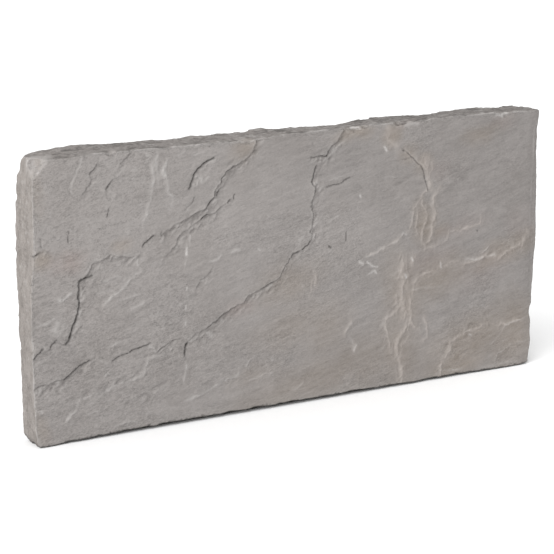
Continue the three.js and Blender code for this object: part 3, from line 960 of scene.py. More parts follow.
SCOOPS = (
    Scoop((-102, -26, 417), (0, -0.85, 0.53), 4, 34),
    Scoop((-300, -26, 418), (0, -0.6, 0.8), 2.5, 46),
    Scoop((88, -26, 421), (0, -0.85, 0.53), 3.5, 48),
    Scoop((178, -26, 422), (0, -0.7, 0.71), 1.5, 40),
    Scoop((382, -26, 422), (0, -0.8, 0.6), 3.5, 38),
    Scoop((-210, 26, 420), (0, 0.75, 0.66), 7, 60),
    Scoop((-20, 26, 421), (0, 0.5, 0.87), 5, 52),
    Scoop((250, 26, 420), (0, 0.8, 0.6), 8, 70),
    Scoop((395, 26, 422), (0, 0.6, 0.8), 5, 40),
    Scoop((-456, -26, 286), (-0.7, -0.71, 0), 3.5, 30),
    Scoop((-459, -26, 146), (-0.8, -0.6, 0), 3, 36),
    Scoop((-454, 26, 205), (-0.7, 0.71, 0), 3, 55),
    Scoop((449, -26, 88), (0.85, -0.53, 0), 1.5, 40),
    Scoop((450, 26, 300), (0.75, 0.66, 0), 7, 60),
    Scoop((448, 26, 120), (0.6, 0.8, 0), 5, 44),
    Scoop((-160, 26, 4), (0, 0.85, -0.53), 5, 50),
    Scoop((300, 26, 4), (0, 0.9, -0.44), 4, 44),
)


@dataclass(frozen=True)
class Outline:
    """How far the ends and top stand out from the block, and how high the bed arrises are.

    Each profile is pairs of (place along the arris, millimetres).
    """

    left_show: tuple = ((0, -0.2), (25, 5.9), (90, 8.3), (230, 9.1), (293, 3.5), (385, 4),
                        (420, 1.2))
    left_back: tuple = ((0, -5), (10, 0.5), (128, 3.5), (239, 5.8), (347, 6.8),
                        (389, 3), (420, -4.8))
    right_show: tuple = ((0, -1.8), (37, 3.5), (88, 2.7), (200, 5.8), (264, 6.2), (388, 2.8),
                         (420, 6.8))
    right_back: tuple = ((0, -2.8), (60, 2.9), (160, -2.7), (250, 0.8), (330, -2.7),
                         (420, -6.2))
    top_show: tuple = ((-450, -5), (-400, -4.7), (-360, -1.5), (-200, -1.5), (-100, -3),
                       (-40, 1.4), (100, 4.2), (250, 6.1), (350, 6.6), (450, 4.2))
    top_back: tuple = ((-450, -3), (-423, 1.2), (-366, 5), (-289, 2.4), (-85, 3.6),
                       (-43, 6.4), (44, 1.4), (89, 0.1), (134, 6.4), (300, 6.9),
                       (371, 9.3), (450, 5.7))
    bed_show: tuple = ((-450, 1), (-400, 3), (-310, 5.5), (-200, 6), (0, 6.5), (50, 4.5),
                       (120, 6), (200, 4), (300, 4), (400, 1.5), (425, 1.5), (450, 3.5))
    bed_back: tuple = ((-450, 2), (-300, 2), (-120, 5), (60, 3), (220, 6), (380, 2),
                       (450, 5))

    def across(self, show: str, back: str, place: np.ndarray, through: np.ndarray
               ) -> np.ndarray:
        """Blends two profiles through the thickness of the stone.

        Args:
            show: name of the profile on the show side.
            back: name of the profile on the back.
            place: places along the arris.
            through: share of the way from the show side to the back.

        Returns:
            The blended value at each place.
        """
        front = np.interp(place, *np.array(getattr(self, show)).T)
        rear = np.interp(place, *np.array(getattr(self, back)).T)
        return front + (rear - front) * through


Feed = bpy.types.NodeSocket | bpy.types.ID | float | int | str | tuple


class Outlets:
    """The live outputs of a node, picked by name."""

    def __init__(self, node: bpy.types.Node) -> None:
        """Keeps the node whose outputs are picked."""
        self.node = node

    def __getitem__(self, name: str) -> bpy.types.NodeSocket:
        """Gives the output of that name that the node's settings leave live."""
        return next(s for s in self.node.outputs if s.name == name and s.enabled)


class Wiring:
    """Adds nodes to a tree and joins them by the names of their sockets."""

    def __init__(self, tree: bpy.types.NodeTree) -> None:
        """Keeps the tree that the nodes go into."""
        self.tree = tree

    def feed(self, socket: bpy.types.NodeSocket, value: Feed) -> None:
        """Links a socket to an output, or sets its value.

        Args:
            socket: input to feed.
            value: output to link it to, or plain value to give it.
        """
        if isinstance(value, bpy.types.NodeSocket):
            self.tree.links.new(value, socket)
        else:
            socket.default_value = value

    def add(self, kind: str, settings: dict[str, str] | None = None, **inputs: Feed
            ) -> Outlets:
        """Adds a node, sets it and feeds its inputs.

        Args:
            kind: the node's type.
            settings: properties of the node itself.
            **inputs: what feeds each input, by its name with _ for a space.

        Returns:
            The outputs of the node.
        """
        node = self.tree.nodes.new(kind)
        for name, value in (settings or {}).items():
            setattr(node, name, value)
        for name, value in inputs.items():
            label = name.replace("_", " ")
            self.feed(next(s for s in node.inputs if s.name == label and s.enabled), value)
        return Outlets(node)

    def maths(self, operation: str, *values: Feed) -> bpy.types.NodeSocket:
        """Adds a Math node.

        Args:
            operation: the sum it does.
            *values: what feeds its inputs, in order.

        Returns:
            Its result.
        """
        node = self.tree.nodes.new("ShaderNodeMath")
        node.operation = operation
        for socket, value in zip(node.inputs, values):
            self.feed(socket, value)
        return node.outputs[0]

    def vector(self, operation: str, first: Feed, second: Feed | None = None
               ) -> bpy.types.NodeSocket:
        """Adds a Vector Math node.

        Args:
            operation: the sum it does.
            first: what feeds its first vector.
            second: what feeds its second vector, or its scale.

        Returns:
            Its live result.
        """
        node = self.tree.nodes.new("ShaderNodeVectorMath")
        node.operation = operation
        self.feed(node.inputs[0], first)
        if second is not None:
            self.feed(node.inputs["Scale" if operation == "SCALE" else 1], second)
        return next(s for s in node.outputs if s.enabled)

    def noise(self, place: Feed, scale: Feed, seed: Feed, detail: float, roughness: float
              ) -> bpy.types.NodeSocket:
        """Adds a noise texture.

        Args:
            place: where it is read.
            scale: how many cells it has to a unit of length.
            seed: its fourth coordinate, which picks one noise of many.
            detail: how many finer layers it has.
            roughness: strength of each layer against the one before.

        Returns:
            The noise, around 0.5.
        """
        made = self.add("ShaderNodeTexNoise", {"noise_dimensions": "4D"}, Vector=place,
                        W=seed, Scale=scale, Detail=detail, Roughness=roughness)
        return made["Fac"]

    def spread(self, value: Feed, low: float, high: float, start: float = 0.0,
               end: float = 1.0) -> bpy.types.NodeSocket:
        """Maps low..high of a value onto start..end, held at both ends."""
        return self.add("ShaderNodeMapRange", Value=value, From_Min=low, From_Max=high,
                        To_Min=start, To_Max=end)["Result"]

    def mix(self, factor: Feed, first: Feed, second: Feed, mode: str = "MIX"
            ) -> bpy.types.NodeSocket:
        """Mixes two colours.

        Args:
            factor: share of the second.
            first: the colour underneath.
            second: the colour on top.
            mode: how they are mixed.

        Returns:
            The mixed colour.
        """
        settings = {"data_type": "RGBA", "blend_type": mode}
        return self.add("ShaderNodeMix", settings, Factor=factor, A=first, B=second)[
            "Result"]

    def read(self, name: str) -> bpy.types.NodeSocket:
        """Reads one of the stone's own attributes in a material."""
        return self.add("ShaderNodeAttribute", {"attribute_name": name})["Fac"]

    def finish(self, geometry: bpy.types.NodeSocket, material: bpy.types.NodeSocket
               ) -> None:
        """Ends a geometry tree: realizes instances, sets the material and gives the result.

        Args:
            geometry: what the tree has made.
            material: the material to set on it.
        """
        real = self.add("GeometryNodeRealizeInstances", Geometry=geometry)
        dressed = self.add("GeometryNodeSetMaterial", Geometry=real["Geometry"],
                           Material=material)
        self.add("NodeGroupOutput", Geometry=dressed["Geometry"])


@dataclass(frozen=True)
class Inputs:
    """The named inputs of a geometry tree, by the kind of their sockets."""

    floats: tuple[str, ...] = ()
    whole: tuple[str, ...] = ()
    objects: tuple[str, ...] = ()

    def tree(self, name: str) -> bpy.types.NodeTree:
        """Makes an empty geometry tree that has these inputs.

        Args:
            name: name of the tree.

        Returns:
            The tree, with a Geometry and a Material input and a Geometry output as well.
        """
        tree = bpy.data.node_groups.new(name, "GeometryNodeTree")
        groups = (("Geometry", ("Geometry",)), ("Object", self.objects),
                  ("Float", self.floats), ("Int", self.whole),
                  ("Material", ("Material",)))
        for kind, labels in groups:
            for label in labels:
                tree.interface.new_socket(name=label, in_out="INPUT",
                                          socket_type=f"NodeSocket{kind}")
        tree.interface.new_socket(name="Geometry", in_out="OUTPUT",
                                  socket_type="NodeSocketGeometry")
        return tree


def put(name: str, data: bpy.types.ID) -> bpy.types.Object:
    """Puts a new object into the scene.

    Args:
        name: its name.
        data: its mesh, curve, lamp or lens.

    Returns:
        The object.
    """
    made = bpy.data.objects.new(name, data)
    bpy.context.scene.collection.objects.link(made)
    return made


def set_tree(piece: bpy.types.Object, tree: bpy.types.NodeTree, values: dict[str, Feed]
             ) -> None:
    """Puts a geometry tree on a piece and sets its inputs by their identifiers.

    Args:
        piece: object that gets the modifier.
        tree: the tree.
        values: value of each named input.
    """
    modifier = piece.modifiers.new(tree.name, "NODES")
    modifier.node_group = tree
    for item in tree.interface.items_tree:
        if item.in_out == "INPUT" and item.name in values:
            modifier[item.identifier] = values[item.name]


@dataclass
class ArrisChips:
    """Geometry Nodes that bite small chips out of the arrises, in millimetres.

    Attributes:
        spacing: distance between chips along an arris.
        least: radius of the smallest bite.
        most: radius of the largest bite.
        scatter: how far a bite may move from its even place.
        seed: seed of the bites' places and sizes.
    """

    spacing: float = 19.0
    least: float = 6.0
    most: float = 13.5
    scatter: float = 4.0
    seed: int = 4

    def tree(self) -> bpy.types.NodeTree:
        """Builds the node tree with its named inputs.

        Returns:
            The tree.
        """
        tree = Inputs(floats=("Spacing", "Least bite", "Most bite", "Scatter"),
                      whole=("Seed",), objects=("Arris lines",)).tree("arris_chips")
        nodes = Wiring(tree)
        given = nodes.add("NodeGroupInput")
        lines = nodes.add("GeometryNodeObjectInfo", Object=given["Arris lines"])
        bites = nodes.add("GeometryNodeCurveToPoints", {"mode": "LENGTH"},
                          Curve=lines["Geometry"], Length=given["Spacing"])
        shift = nodes.add("FunctionNodeRandomValue", {"data_type": "FLOAT_VECTOR"},
                          Min=nodes.maths("MULTIPLY", given["Scatter"], -1.0),
                          Max=given["Scatter"], Seed=given["Seed"])
        moved = nodes.add("GeometryNodeSetPosition", Geometry=bites["Points"],
                          Offset=shift["Value"])
        size = nodes.add("FunctionNodeRandomValue", {"data_type": "FLOAT"},
                         Min=given["Least bite"], Max=given["Most bite"],
                         Seed=nodes.maths("ADD", given["Seed"], 1.0))
        stored = nodes.add("GeometryNodeStoreNamedAttribute", Geometry=moved["Geometry"],
                           Name="bite", Value=size["Value"])
        place = nodes.add("GeometryNodeInputPosition")["Position"]
        nearest = nodes.add("GeometryNodeSampleNearest", Geometry=stored["Geometry"])
        centre = nodes.add("GeometryNodeSampleIndex", {"data_type": "FLOAT_VECTOR"},
                           Geometry=stored["Geometry"], Value=place,
                           Index=nearest["Index"])
        bite = nodes.add("GeometryNodeInputNamedAttribute", Name="bite")
        radius = nodes.add("GeometryNodeSampleIndex", Geometry=stored["Geometry"],
                           Value=bite["Attribute"], Index=nearest["Index"])
        away = nodes.vector("SUBTRACT", place, centre["Value"])
        depth = nodes.maths("SUBTRACT", radius["Value"], nodes.vector("LENGTH", away))
        offset = nodes.vector("SCALE", nodes.vector("NORMALIZE", away),
                              nodes.maths("MAXIMUM", depth, 0.0))
        bitten = nodes.add("GeometryNodeSetPosition", Geometry=given["Geometry"],
                           Offset=offset)
        nodes.finish(bitten["Geometry"], given["Material"])
        return tree

    def fit(self, stone: bpy.types.Object, lines: bpy.types.Object,
            material: bpy.types.Material) -> None:
        """Puts the tree on the stone and sets its inputs.

        Args:
            stone: the stone to bite.
            lines: curve object that follows the arrises.
            material: finish of the stone.
        """
        set_tree(stone, self.tree(), {
            "Arris lines": lines, "Spacing": self.spacing, "Least bite": self.least,
            "Most bite": self.most, "Scatter": self.scatter, "Seed": self.seed,
            "Material": material})


@dataclass
class RivenGrain:
    """Geometry Nodes that roughen the whole skin of the stone, in millimetres.

    Attributes:
        depth: height of the grain on the riven faces.
        dressed_depth: height of the rubble on the dressed ends and top.
        length: width of one grain across the bedding.
        rise: angle of the bedding, in radians.
        seed: number that picks the grain.
    """

    depth: float = 0.8
    dressed_depth: float = 4.5
    length: float = 8.0
    rise: float = math.radians(BEDDING_RISE)
    seed: float = 7.0

    def tree(self) -> bpy.types.NodeTree:
        """Builds the node tree with its named inputs.

        Returns:
            The tree.
        """
        tree = Inputs(floats=("Grain depth", "Dressed depth", "Grain length",
                              "Bedding rise", "Seed")).tree("riven_grain")
        nodes = Wiring(tree)
        given = nodes.add("NodeGroupInput")
        place = nodes.add("GeometryNodeInputPosition")["Position"]
        turned = nodes.add("ShaderNodeVectorRotate", {"rotation_type": "Y_AXIS"},
                           Vector=place, Angle=given["Bedding rise"])["Vector"]
        scale = nodes.maths("DIVIDE", 1.0, given["Grain length"])
        grain = nodes.noise(nodes.vector("MULTIPLY", turned, (0.45, 1.0, 1.0)), scale,
                            given["Seed"], 3.0, 0.5)
        rubble = nodes.noise(nodes.vector("MULTIPLY", place, (0.36, 2.4, 0.36)), scale,
                             nodes.maths("ADD", given["Seed"], 5.0), 4.0, 0.58)
        rough = nodes.add("GeometryNodeInputNamedAttribute", Name="rough")["Attribute"]
        fine = nodes.maths("MULTIPLY", nodes.maths("SUBTRACT", grain, 0.5),
                           given["Grain depth"])
        fine = nodes.maths("MULTIPLY", fine, nodes.spread(rough, 0.0, 1.0, 0.5, 0.8))
        coarse = nodes.maths("MULTIPLY", nodes.maths("SUBTRACT", rubble, 0.5),
                             given["Dressed depth"])
        dressed = nodes.add("GeometryNodeInputNamedAttribute", Name="dressed")
        height = nodes.add("ShaderNodeMix", {"data_type": "FLOAT"},
                           Factor=dressed["Attribute"], A=fine, B=coarse)["Result"]
        bedded = nodes.add("GeometryNodeInputNamedAttribute", Name="bedded")
        free = nodes.maths("SUBTRACT", 1.0, bedded["Attribute"])
        normal = nodes.add("GeometryNodeInputNormal")["Normal"]
        offset = nodes.vector("SCALE", normal, nodes.maths("MULTIPLY", height, free))
        moved = nodes.add("GeometryNodeSetPosition", Geometry=given["Geometry"],
                          Offset=offset)
        nodes.finish(moved["Geometry"], given["Material"])
        return tree

    def fit(self, stone: bpy.types.Object, material: bpy.types.Material) -> None:
        """Puts the tree on the stone and sets its inputs.

        Args:
            stone: the stone to roughen.
            material: finish of the stone.
        """
        set_tree(stone, self.tree(), {
            "Grain depth": self.depth, "Dressed depth": self.dressed_depth,
            "Grain length": self.length, "Bedding rise": self.rise, "Seed": self.seed,
            "Material": material})


@dataclass(frozen=True)
class Sandstone:
    """Finish: matt grey sandstone, pale veins, faint stains, painted shade and painted highlight.

    Attributes:
        pale, deep: the palest and the darkest bare stone.
        vein, fresh_and_highlight: veins, and pale breaks with painted highlight on them.
        crevice_shade: painted shade at the bottoms of cracks and in hollows.
        rust, rose: what a stain leaves of the colour under it.
        top_shade_and_dim_ends: what the top's painted shade and the dimmed ends leave of it.
        rise: angle of the bedding, in radians.
        cloud, streak, grit, fold: how many of each there are to a metre.
        fold_tone, cloud_tone: how much a fold or a drawn cloud changes the tone.
        relief: depth of the bump, in metres.
        roughness, sheen: roughness of the stone and strength of its highlight.
    """

    pale: tuple[float, ...] = (0.267, 0.249, 0.239, 1.0)
    deep: tuple[float, ...] = (0.176, 0.164, 0.157, 1.0)
    vein: tuple[float, ...] = (0.335, 0.302, 0.280, 1.0)
    # Pale newly broken stone, which also paints highlight on edges and lips.
    fresh_and_highlight: tuple[float, ...] = (0.400, 0.382, 0.370, 1.0)
    # Near-black painted shade for cracks, the feet of ledges, hollows and undersides.
    crevice_shade: tuple[float, ...] = (0.025, 0.023, 0.021, 1.0)
    rust: tuple[float, ...] = (0.960, 0.890, 0.800, 1.0)
    rose: tuple[float, ...] = (1.000, 0.925, 0.905, 1.0)
    # Painted shade of the top, which also dims the ends a little.
    top_shade_and_dim_ends: tuple[float, ...] = (0.760, 0.750, 0.740, 1.0)
    rise: float = math.radians(BEDDING_RISE)
    cloud: float = 11.0
    streak: float = 170.0
    grit: float = 400.0
    fold: float = 95.0
    fold_tone: float = 0.22
    cloud_tone: float = 0.28
    relief: float = 0.001
    roughness: float = 0.92
    sheen: float = 0.25

    def build(self) -> bpy.types.Material:
        """Builds the material's nodes.

        Returns:
            The material.
        """
        material = bpy.data.materials.new("sandstone")
        material.use_nodes = True
        tree = material.node_tree
        tree.nodes.clear()
        nodes = Wiring(tree)
        place = nodes.add("ShaderNodeTexCoord")["Object"]
        turned = nodes.add("ShaderNodeVectorRotate", {"rotation_type": "Y_AXIS"},
                           Vector=place, Angle=self.rise)["Vector"]
        dressed = nodes.read("dressed")
        bedding = nodes.vector("MULTIPLY", turned, (0.22, 1.0, 1.0))
        layers = nodes.vector("MULTIPLY", place, (0.15, 0.6, 0.15))
        flow = nodes.add("ShaderNodeMix", {"data_type": "VECTOR"}, Factor=dressed,
                         A=bedding, B=layers)["Result"]
        cloud = nodes.noise(place, self.cloud, 1.0, 3.0, 0.5)
        streak = nodes.noise(flow, self.streak, 2.0, 4.0, 0.6)
        ribbon = nodes.maths("MULTIPLY", nodes.spread(streak, 0.3, 0.7, -1.0, 1.0),
                             nodes.spread(dressed, 0.0, 1.0, 0.21, 0.4))
        grain = nodes.noise(nodes.vector("MULTIPLY", turned, (0.5, 1.0, 1.0)), self.grit,
                            3.0, 3.0, 0.8)
        rough = nodes.spread(nodes.read("rough"), 0.0, 1.0, 0.75, 1.8)
        coarse = nodes.maths("MULTIPLY", nodes.spread(grain, 0.3, 0.7, -0.4, 0.4), rough)
        tone = nodes.maths("ADD", nodes.spread(cloud, 0.3, 0.7, -0.15, 0.15), ribbon)
        tone = nodes.maths("ADD", tone, coarse)
        tone = nodes.maths("ADD", tone, nodes.spread(dressed, 0.0, 1.0, 0.42, 0.45))
        tone = self.shaded_and_clouded(nodes, tone, place)
        fold = self.folded(nodes, turned, streak)
        tone = nodes.maths("SUBTRACT", tone, nodes.maths("MULTIPLY", fold, self.fold_tone))
        # Painted shade and highlight: darker where the skin is concave, paler where it is convex.
        ridge = nodes.add("ShaderNodeNewGeometry")["Pointiness"]
        tone = nodes.maths("ADD", tone, nodes.spread(ridge, 0.44, 0.56, 0.25, -0.25))
        colour = nodes.mix(nodes.spread(tone, 0.0, 1.0, 0.0, 1.0), self.pale, self.deep)
        colour = self.stained(nodes, colour, cloud, streak)
        colour = self.marked(nodes, colour, streak, grain)
        height = nodes.maths("ADD", nodes.maths("MULTIPLY", grain, rough),
                             nodes.maths("MULTIPLY", streak, 1.1))
        bump = nodes.add(
            "ShaderNodeBump", Strength=0.8, Distance=self.relief,
            Height=nodes.maths("ADD", height, nodes.maths("MULTIPLY", fold, 0.7)))
        shader = nodes.add(
            "ShaderNodeBsdfPrincipled", Base_Color=colour,
            Roughness=nodes.spread(grain, 0.2, 0.8, self.roughness, 0.8),
            Specular_IOR_Level=self.sheen, Normal=bump["Normal"])
        nodes.add("ShaderNodeOutputMaterial", Surface=shader["BSDF"])
        return material

    def shaded_and_clouded(self, nodes: Wiring, tone: Feed, place: Feed) -> bpy.types.NodeSocket:
        """Paints light fall-off: paler at the upper left, darker on the right but for its foot.

        Args:
            nodes: wiring of the material.
            tone: how dark the stone is, from 0 to 1.
            place: the place on the stone.

        Returns:
            The tone with its painted light fall-off and drawn clouds.
        """
        parts = nodes.add("ShaderNodeSeparateXYZ", Vector=place)
        # Painted light fall-off: darker towards the right, paler at the upper left.
        tone = nodes.maths("ADD", tone, nodes.spread(parts["X"], -0.45, 0.45, -0.05, 0.25))
        painted_light_upper_left = nodes.maths("MULTIPLY", nodes.spread(parts["X"], -0.4, 0.12, 0.26, 0.0),
                               nodes.spread(parts["Z"], 0.08, 0.32, 0.0, 1.0))
        tone = nodes.maths("SUBTRACT", tone, painted_light_upper_left)
        # Painted shade on the right, eased off at its foot.
        shaded = nodes.maths("MULTIPLY", nodes.spread(parts["X"], 0.05, 0.3, 0.0, 1.0),
                             nodes.spread(parts["Z"], 0.02, 0.16, -0.15, 0.07))
        tone = nodes.maths("ADD", tone, shaded)
        clouds = nodes.maths("SUBTRACT", nodes.read("shade"), nodes.read("pale"))
        return nodes.maths("ADD", tone, nodes.maths("MULTIPLY", clouds, self.cloud_tone))

    def folded(self, nodes: Wiring, place: Feed, streak: Feed) -> bpy.types.NodeSocket:
        """Draws the hair-fine folds where the thinnest leaves of the stone end.

        Args:
            nodes: wiring of the material.
            place: the place on the stone, turned to the bedding.
            streak: noise that runs with the bedding.

        Returns:
            How strongly a fold shows, from 0 to 1.
        """
        web = nodes.noise(nodes.vector("MULTIPLY", place, (0.5, 1.0, 1.0)), self.fold, 4.0,
                          4.0, 0.6)
        line = nodes.spread(nodes.maths("ABSOLUTE", nodes.maths("SUBTRACT", web, 0.5)),
                            0.0, 0.022, 1.0, 0.0)
        shown = nodes.maths("MULTIPLY", nodes.spread(streak, 0.46, 0.6, 0.0, 1.0),
                            nodes.spread(nodes.read("rough"), 0.0, 1.0, 0.35, 1.0))
        return nodes.maths("MULTIPLY", line, shown)

    def stained(self, nodes: Wiring, colour: Feed, cloud: Feed, streak: Feed
                ) -> bpy.types.NodeSocket:
        """Lays the soft brown and rose staining over a colour, and the top's painted shade.

        Args:
            nodes: wiring of the material.
            colour: the bare stone.
            cloud: broad noise.
            streak: noise that runs with the bedding.

        Returns:
            The stained colour.
        """
        patch = nodes.spread(streak, 0.3, 0.75, 0.55, 1.0)
        for name, tint in (("rust", self.rust), ("rose", self.rose)):
            amount = nodes.maths("MULTIPLY", nodes.read(name), patch)
            colour = nodes.mix(amount, colour, tint, "MULTIPLY")
        # Painted shade on the top, and a little darkening of the ends.
        colour = nodes.mix(nodes.read("top_shade_and_dim_ends"), colour, self.top_shade_and_dim_ends, "MULTIPLY")
        return nodes.mix(nodes.spread(cloud, 0.45, 0.7, 0.0, 0.08), colour, self.rust,
                         "MULTIPLY")

    def marked(self, nodes: Wiring, colour: Feed, streak: Feed, grain: Feed
               ) -> bpy.types.NodeSocket:
        """Draws the veins, pale breaks with painted highlight, and painted crack shade over a colour.

        Args:
            nodes: wiring of the material.
            colour: the stained stone.
            streak: noise that runs with the bedding.
            grain: fine noise.

        Returns:
            The marked colour.
        """
        broken = nodes.maths("MULTIPLY", nodes.spread(streak, 0.25, 0.6, 0.35, 1.0),
                             nodes.spread(grain, 0.3, 0.65, 0.4, 1.2))
        vein = nodes.maths("MULTIPLY", nodes.read("vein"), broken)
        colour = nodes.mix(nodes.maths("MULTIPLY", vein, 0.85), colour, self.vein)
        # Pale newly broken stone, partly painted highlight on edges and lips.
        fresh_and_highlight = nodes.maths("MULTIPLY", nodes.read("edge"), broken)
        colour = nodes.mix(nodes.maths("MINIMUM", fresh_and_highlight, 0.9), colour, self.fresh_and_highlight)
        # Painted shade: near-black in cracks, at ledge feet, in hollows and on undersides.
        dark = nodes.maths("MULTIPLY", nodes.read("crevice_shade"),
                           nodes.spread(grain, 0.2, 0.7, 1.0, 0.7))
        return nodes.mix(nodes.maths("MINIMUM", dark, 0.95), colour, self.crevice_shade)


@dataclass
class EdgingStone:
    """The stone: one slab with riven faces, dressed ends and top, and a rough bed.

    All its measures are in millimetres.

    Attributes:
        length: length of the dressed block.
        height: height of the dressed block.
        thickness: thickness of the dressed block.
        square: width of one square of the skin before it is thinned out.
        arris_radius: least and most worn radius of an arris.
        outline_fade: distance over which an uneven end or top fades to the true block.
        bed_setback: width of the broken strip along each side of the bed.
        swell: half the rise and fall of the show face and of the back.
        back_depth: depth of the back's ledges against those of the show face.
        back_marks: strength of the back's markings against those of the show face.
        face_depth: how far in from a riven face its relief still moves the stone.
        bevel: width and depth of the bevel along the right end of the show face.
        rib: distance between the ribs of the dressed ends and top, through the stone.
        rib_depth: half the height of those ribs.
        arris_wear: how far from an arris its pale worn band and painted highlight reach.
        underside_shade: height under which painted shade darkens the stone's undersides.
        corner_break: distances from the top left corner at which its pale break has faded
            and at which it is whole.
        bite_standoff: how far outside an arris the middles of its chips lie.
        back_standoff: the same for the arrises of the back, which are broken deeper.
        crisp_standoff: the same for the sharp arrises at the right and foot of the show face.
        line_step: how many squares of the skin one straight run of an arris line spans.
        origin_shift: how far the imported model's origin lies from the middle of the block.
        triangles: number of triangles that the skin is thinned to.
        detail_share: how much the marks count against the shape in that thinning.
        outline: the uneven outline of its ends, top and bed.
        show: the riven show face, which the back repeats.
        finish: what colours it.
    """

    length: float = 900.0
    height: float = 420.0
    thickness: float = 52.0
    square: float = 1.5
    arris_radius: tuple[float, float] = (0.5, 2.4)
    outline_fade: float = 70.0
    bed_setback: float = 16.0
    swell: tuple[float, float] = (1.5, 1.8)
    back_depth: float = 0.45
    back_marks: float = 0.7
    face_depth: float = 14.0
    bevel: tuple[float, float] = (17.0, 2.2)
    rib: float = 11.0
    rib_depth: float = 1.9
    arris_wear: float = 1.6
    # Painted shade darkens the undersides below this height.
    underside_shade: float = 40.0
    corner_break: tuple[float, float] = (42.0, 24.0)
    bite_standoff: float = 11.5
    back_standoff: float = 11.0
    crisp_standoff: float = 16.0
    line_step: int = 4
    origin_shift: tuple[float, float, float] = (2.92, -0.16, 0.0)
    triangles: int = 190000
    detail_share: float = 0.2
    outline: Outline = Outline()
    show: ShowFace = ShowFace()
    finish: Sandstone = Sandstone()

    def __post_init__(self) -> None:
        """Works out how many squares go along, through and up the block."""
        self.square *= 1.0
        sizes = (self.length, self.thickness, self.height)
        self.squares = [round(size / self.square) for size in sizes]

    def lattice(self) -> tuple[np.ndarray, np.ndarray, np.ndarray]:
        """Lays squares over the six faces of the block, joined at its arrises.

        Returns:
            The points of the plain block, its squares as rows of four point numbers, and
            the number of the point at each place of the lattice, or -1 inside it.
        """
        counts = [count + 1 for count in self.squares]
        skin = np.zeros(counts, bool)
        for face in Face:
            axis, end = face.value
            skin[tuple(-end if a == axis else slice(None) for a in range(3))] = True
        numbers = np.full(counts, -1)
        numbers[skin] = np.arange(skin.sum())
        share = np.argwhere(skin) / np.array(self.squares)
        block = np.array((self.length, self.thickness, self.height))
        points = share * block - block * (0.5, 0.5, 0.0)
        squares = [self.squares_of(numbers, face) for face in Face]
        return points, np.concatenate(squares), numbers

    @staticmethod
    def squares_of(numbers: np.ndarray, face: Face) -> np.ndarray:
        """Lists the squares of one face, wound to point outwards.

        Args:
            numbers: point numbers of the lattice.
            face: which face.

        Returns:
            Rows of four point numbers.
        """
        axis, end = face.value
        sheet = numbers.take(-end, axis)
        corners = (sheet[:-1, :-1], sheet[1:, :-1], sheet[1:, 1:], sheet[:-1, 1:])
        quads = np.stack([corner.ravel() for corner in corners], 1)
        outwards = (axis != 1) == bool(end)
        return quads if outwards else quads[:, ::-1]

    def rounded(self, points: np.ndarray) -> np.ndarray:
        """Wears the arrises and corners of the block round by uneven amounts.

        Args:
            points: the points of the plain block.

        Returns:
            The worn points.
        """
        least, most = self.arris_radius
        worn = smooth(-0.5, 0.6, layered(points, 40.0, Seed.ARRIS, 3))
        worn *= smooth(0.0, 30.0, points[:, 2])
        worn *= 1.0 - 0.8 * smooth(0.0, self.length / 2, points[:, 0])
        radius = (least + (most - least) * worn)[:, None]
        low = np.array((-self.length / 2, -self.thickness / 2, 0.0)) + radius
        high = np.array((self.length / 2, self.thickness / 2, self.height)) - radius
        core = np.clip(points, low, high)
        out = points - core
        return core + out * radius / np.maximum(np.linalg.norm(out, axis=1), 1e-9)[:, None]

    def outlined(self, points: np.ndarray) -> np.ndarray:
        """Moves the ends, the top and the bed arrises to their uneven outline.

        Args:
            points: the stone's points.

        Returns:
            The moved points.
        """
        x, y, z = points.T
        through = y / self.thickness + 0.5
        out = np.where(x < 0.0,
                       self.outline.across("left_show", "left_back", z, through),
                       self.outline.across("right_show", "right_back", z, through))
        share = np.clip(1.0 - (self.length / 2 - np.abs(x)) / self.outline_fade, 0.0, 1.0)
        top = self.outline.across("top_show", "top_back", x, through)
        top *= np.clip(1.0 - (self.height - z) / self.outline_fade, 0.0, 1.0)
        front = np.interp(x, *np.array(self.outline.bed_show).T)
        rear = np.interp(x, *np.array(self.outline.bed_back).T)
        inwards = self.thickness / 2 - np.abs(y)
        lift = np.where(y < 0.0, front, rear) * (1.0 + 0.25 * noise(points, 16.0, Seed.BED))
        lift *= 1.0 - smooth(0.3 * self.bed_setback, self.bed_setback, inwards)
        lift *= np.clip(1.0 - z / self.outline_fade, 0.0, 1.0)
        return np.stack([x + np.sign(x) * out * share, y, z + top + lift], 1)

    def rubbly(self, points: np.ndarray, plain: np.ndarray) -> np.ndarray:
        """Roughens the dressed ends and top with long ribs that follow the layers.

        Args:
            points: the stone's points.
            plain: the same points on the plain block.

        Returns:
            The roughened points.
        """
        half = self.length / 2
        inner = 1.0 - smooth(0.0, 4.0, self.thickness / 2 - np.abs(plain[:, 1]))
        blocks = layered(plain / (1.0, 1.4, 1.0), 26.0, Seed.BLOCK, 3, 0.6)
        out = self.rib_depth * (self.ribs(plain) * (1.0 - 0.6 * inner) + 0.8 * blocks)
        moved = points.copy()
        moved[:, 2] += out * (plain[:, 2] == self.height)
        moved[:, 0] += out * ((plain[:, 0] == half) * 1.0 - (plain[:, 0] == -half) * 1.0)
        return moved

    def ribs(self, points: np.ndarray) -> np.ndarray:
        """The long ribs that the layers leave on a dressed face, from -1 to 1."""
        return layered(points / (1.8, 1.0, 1.8), self.rib, Seed.RIB, 4, 0.65)

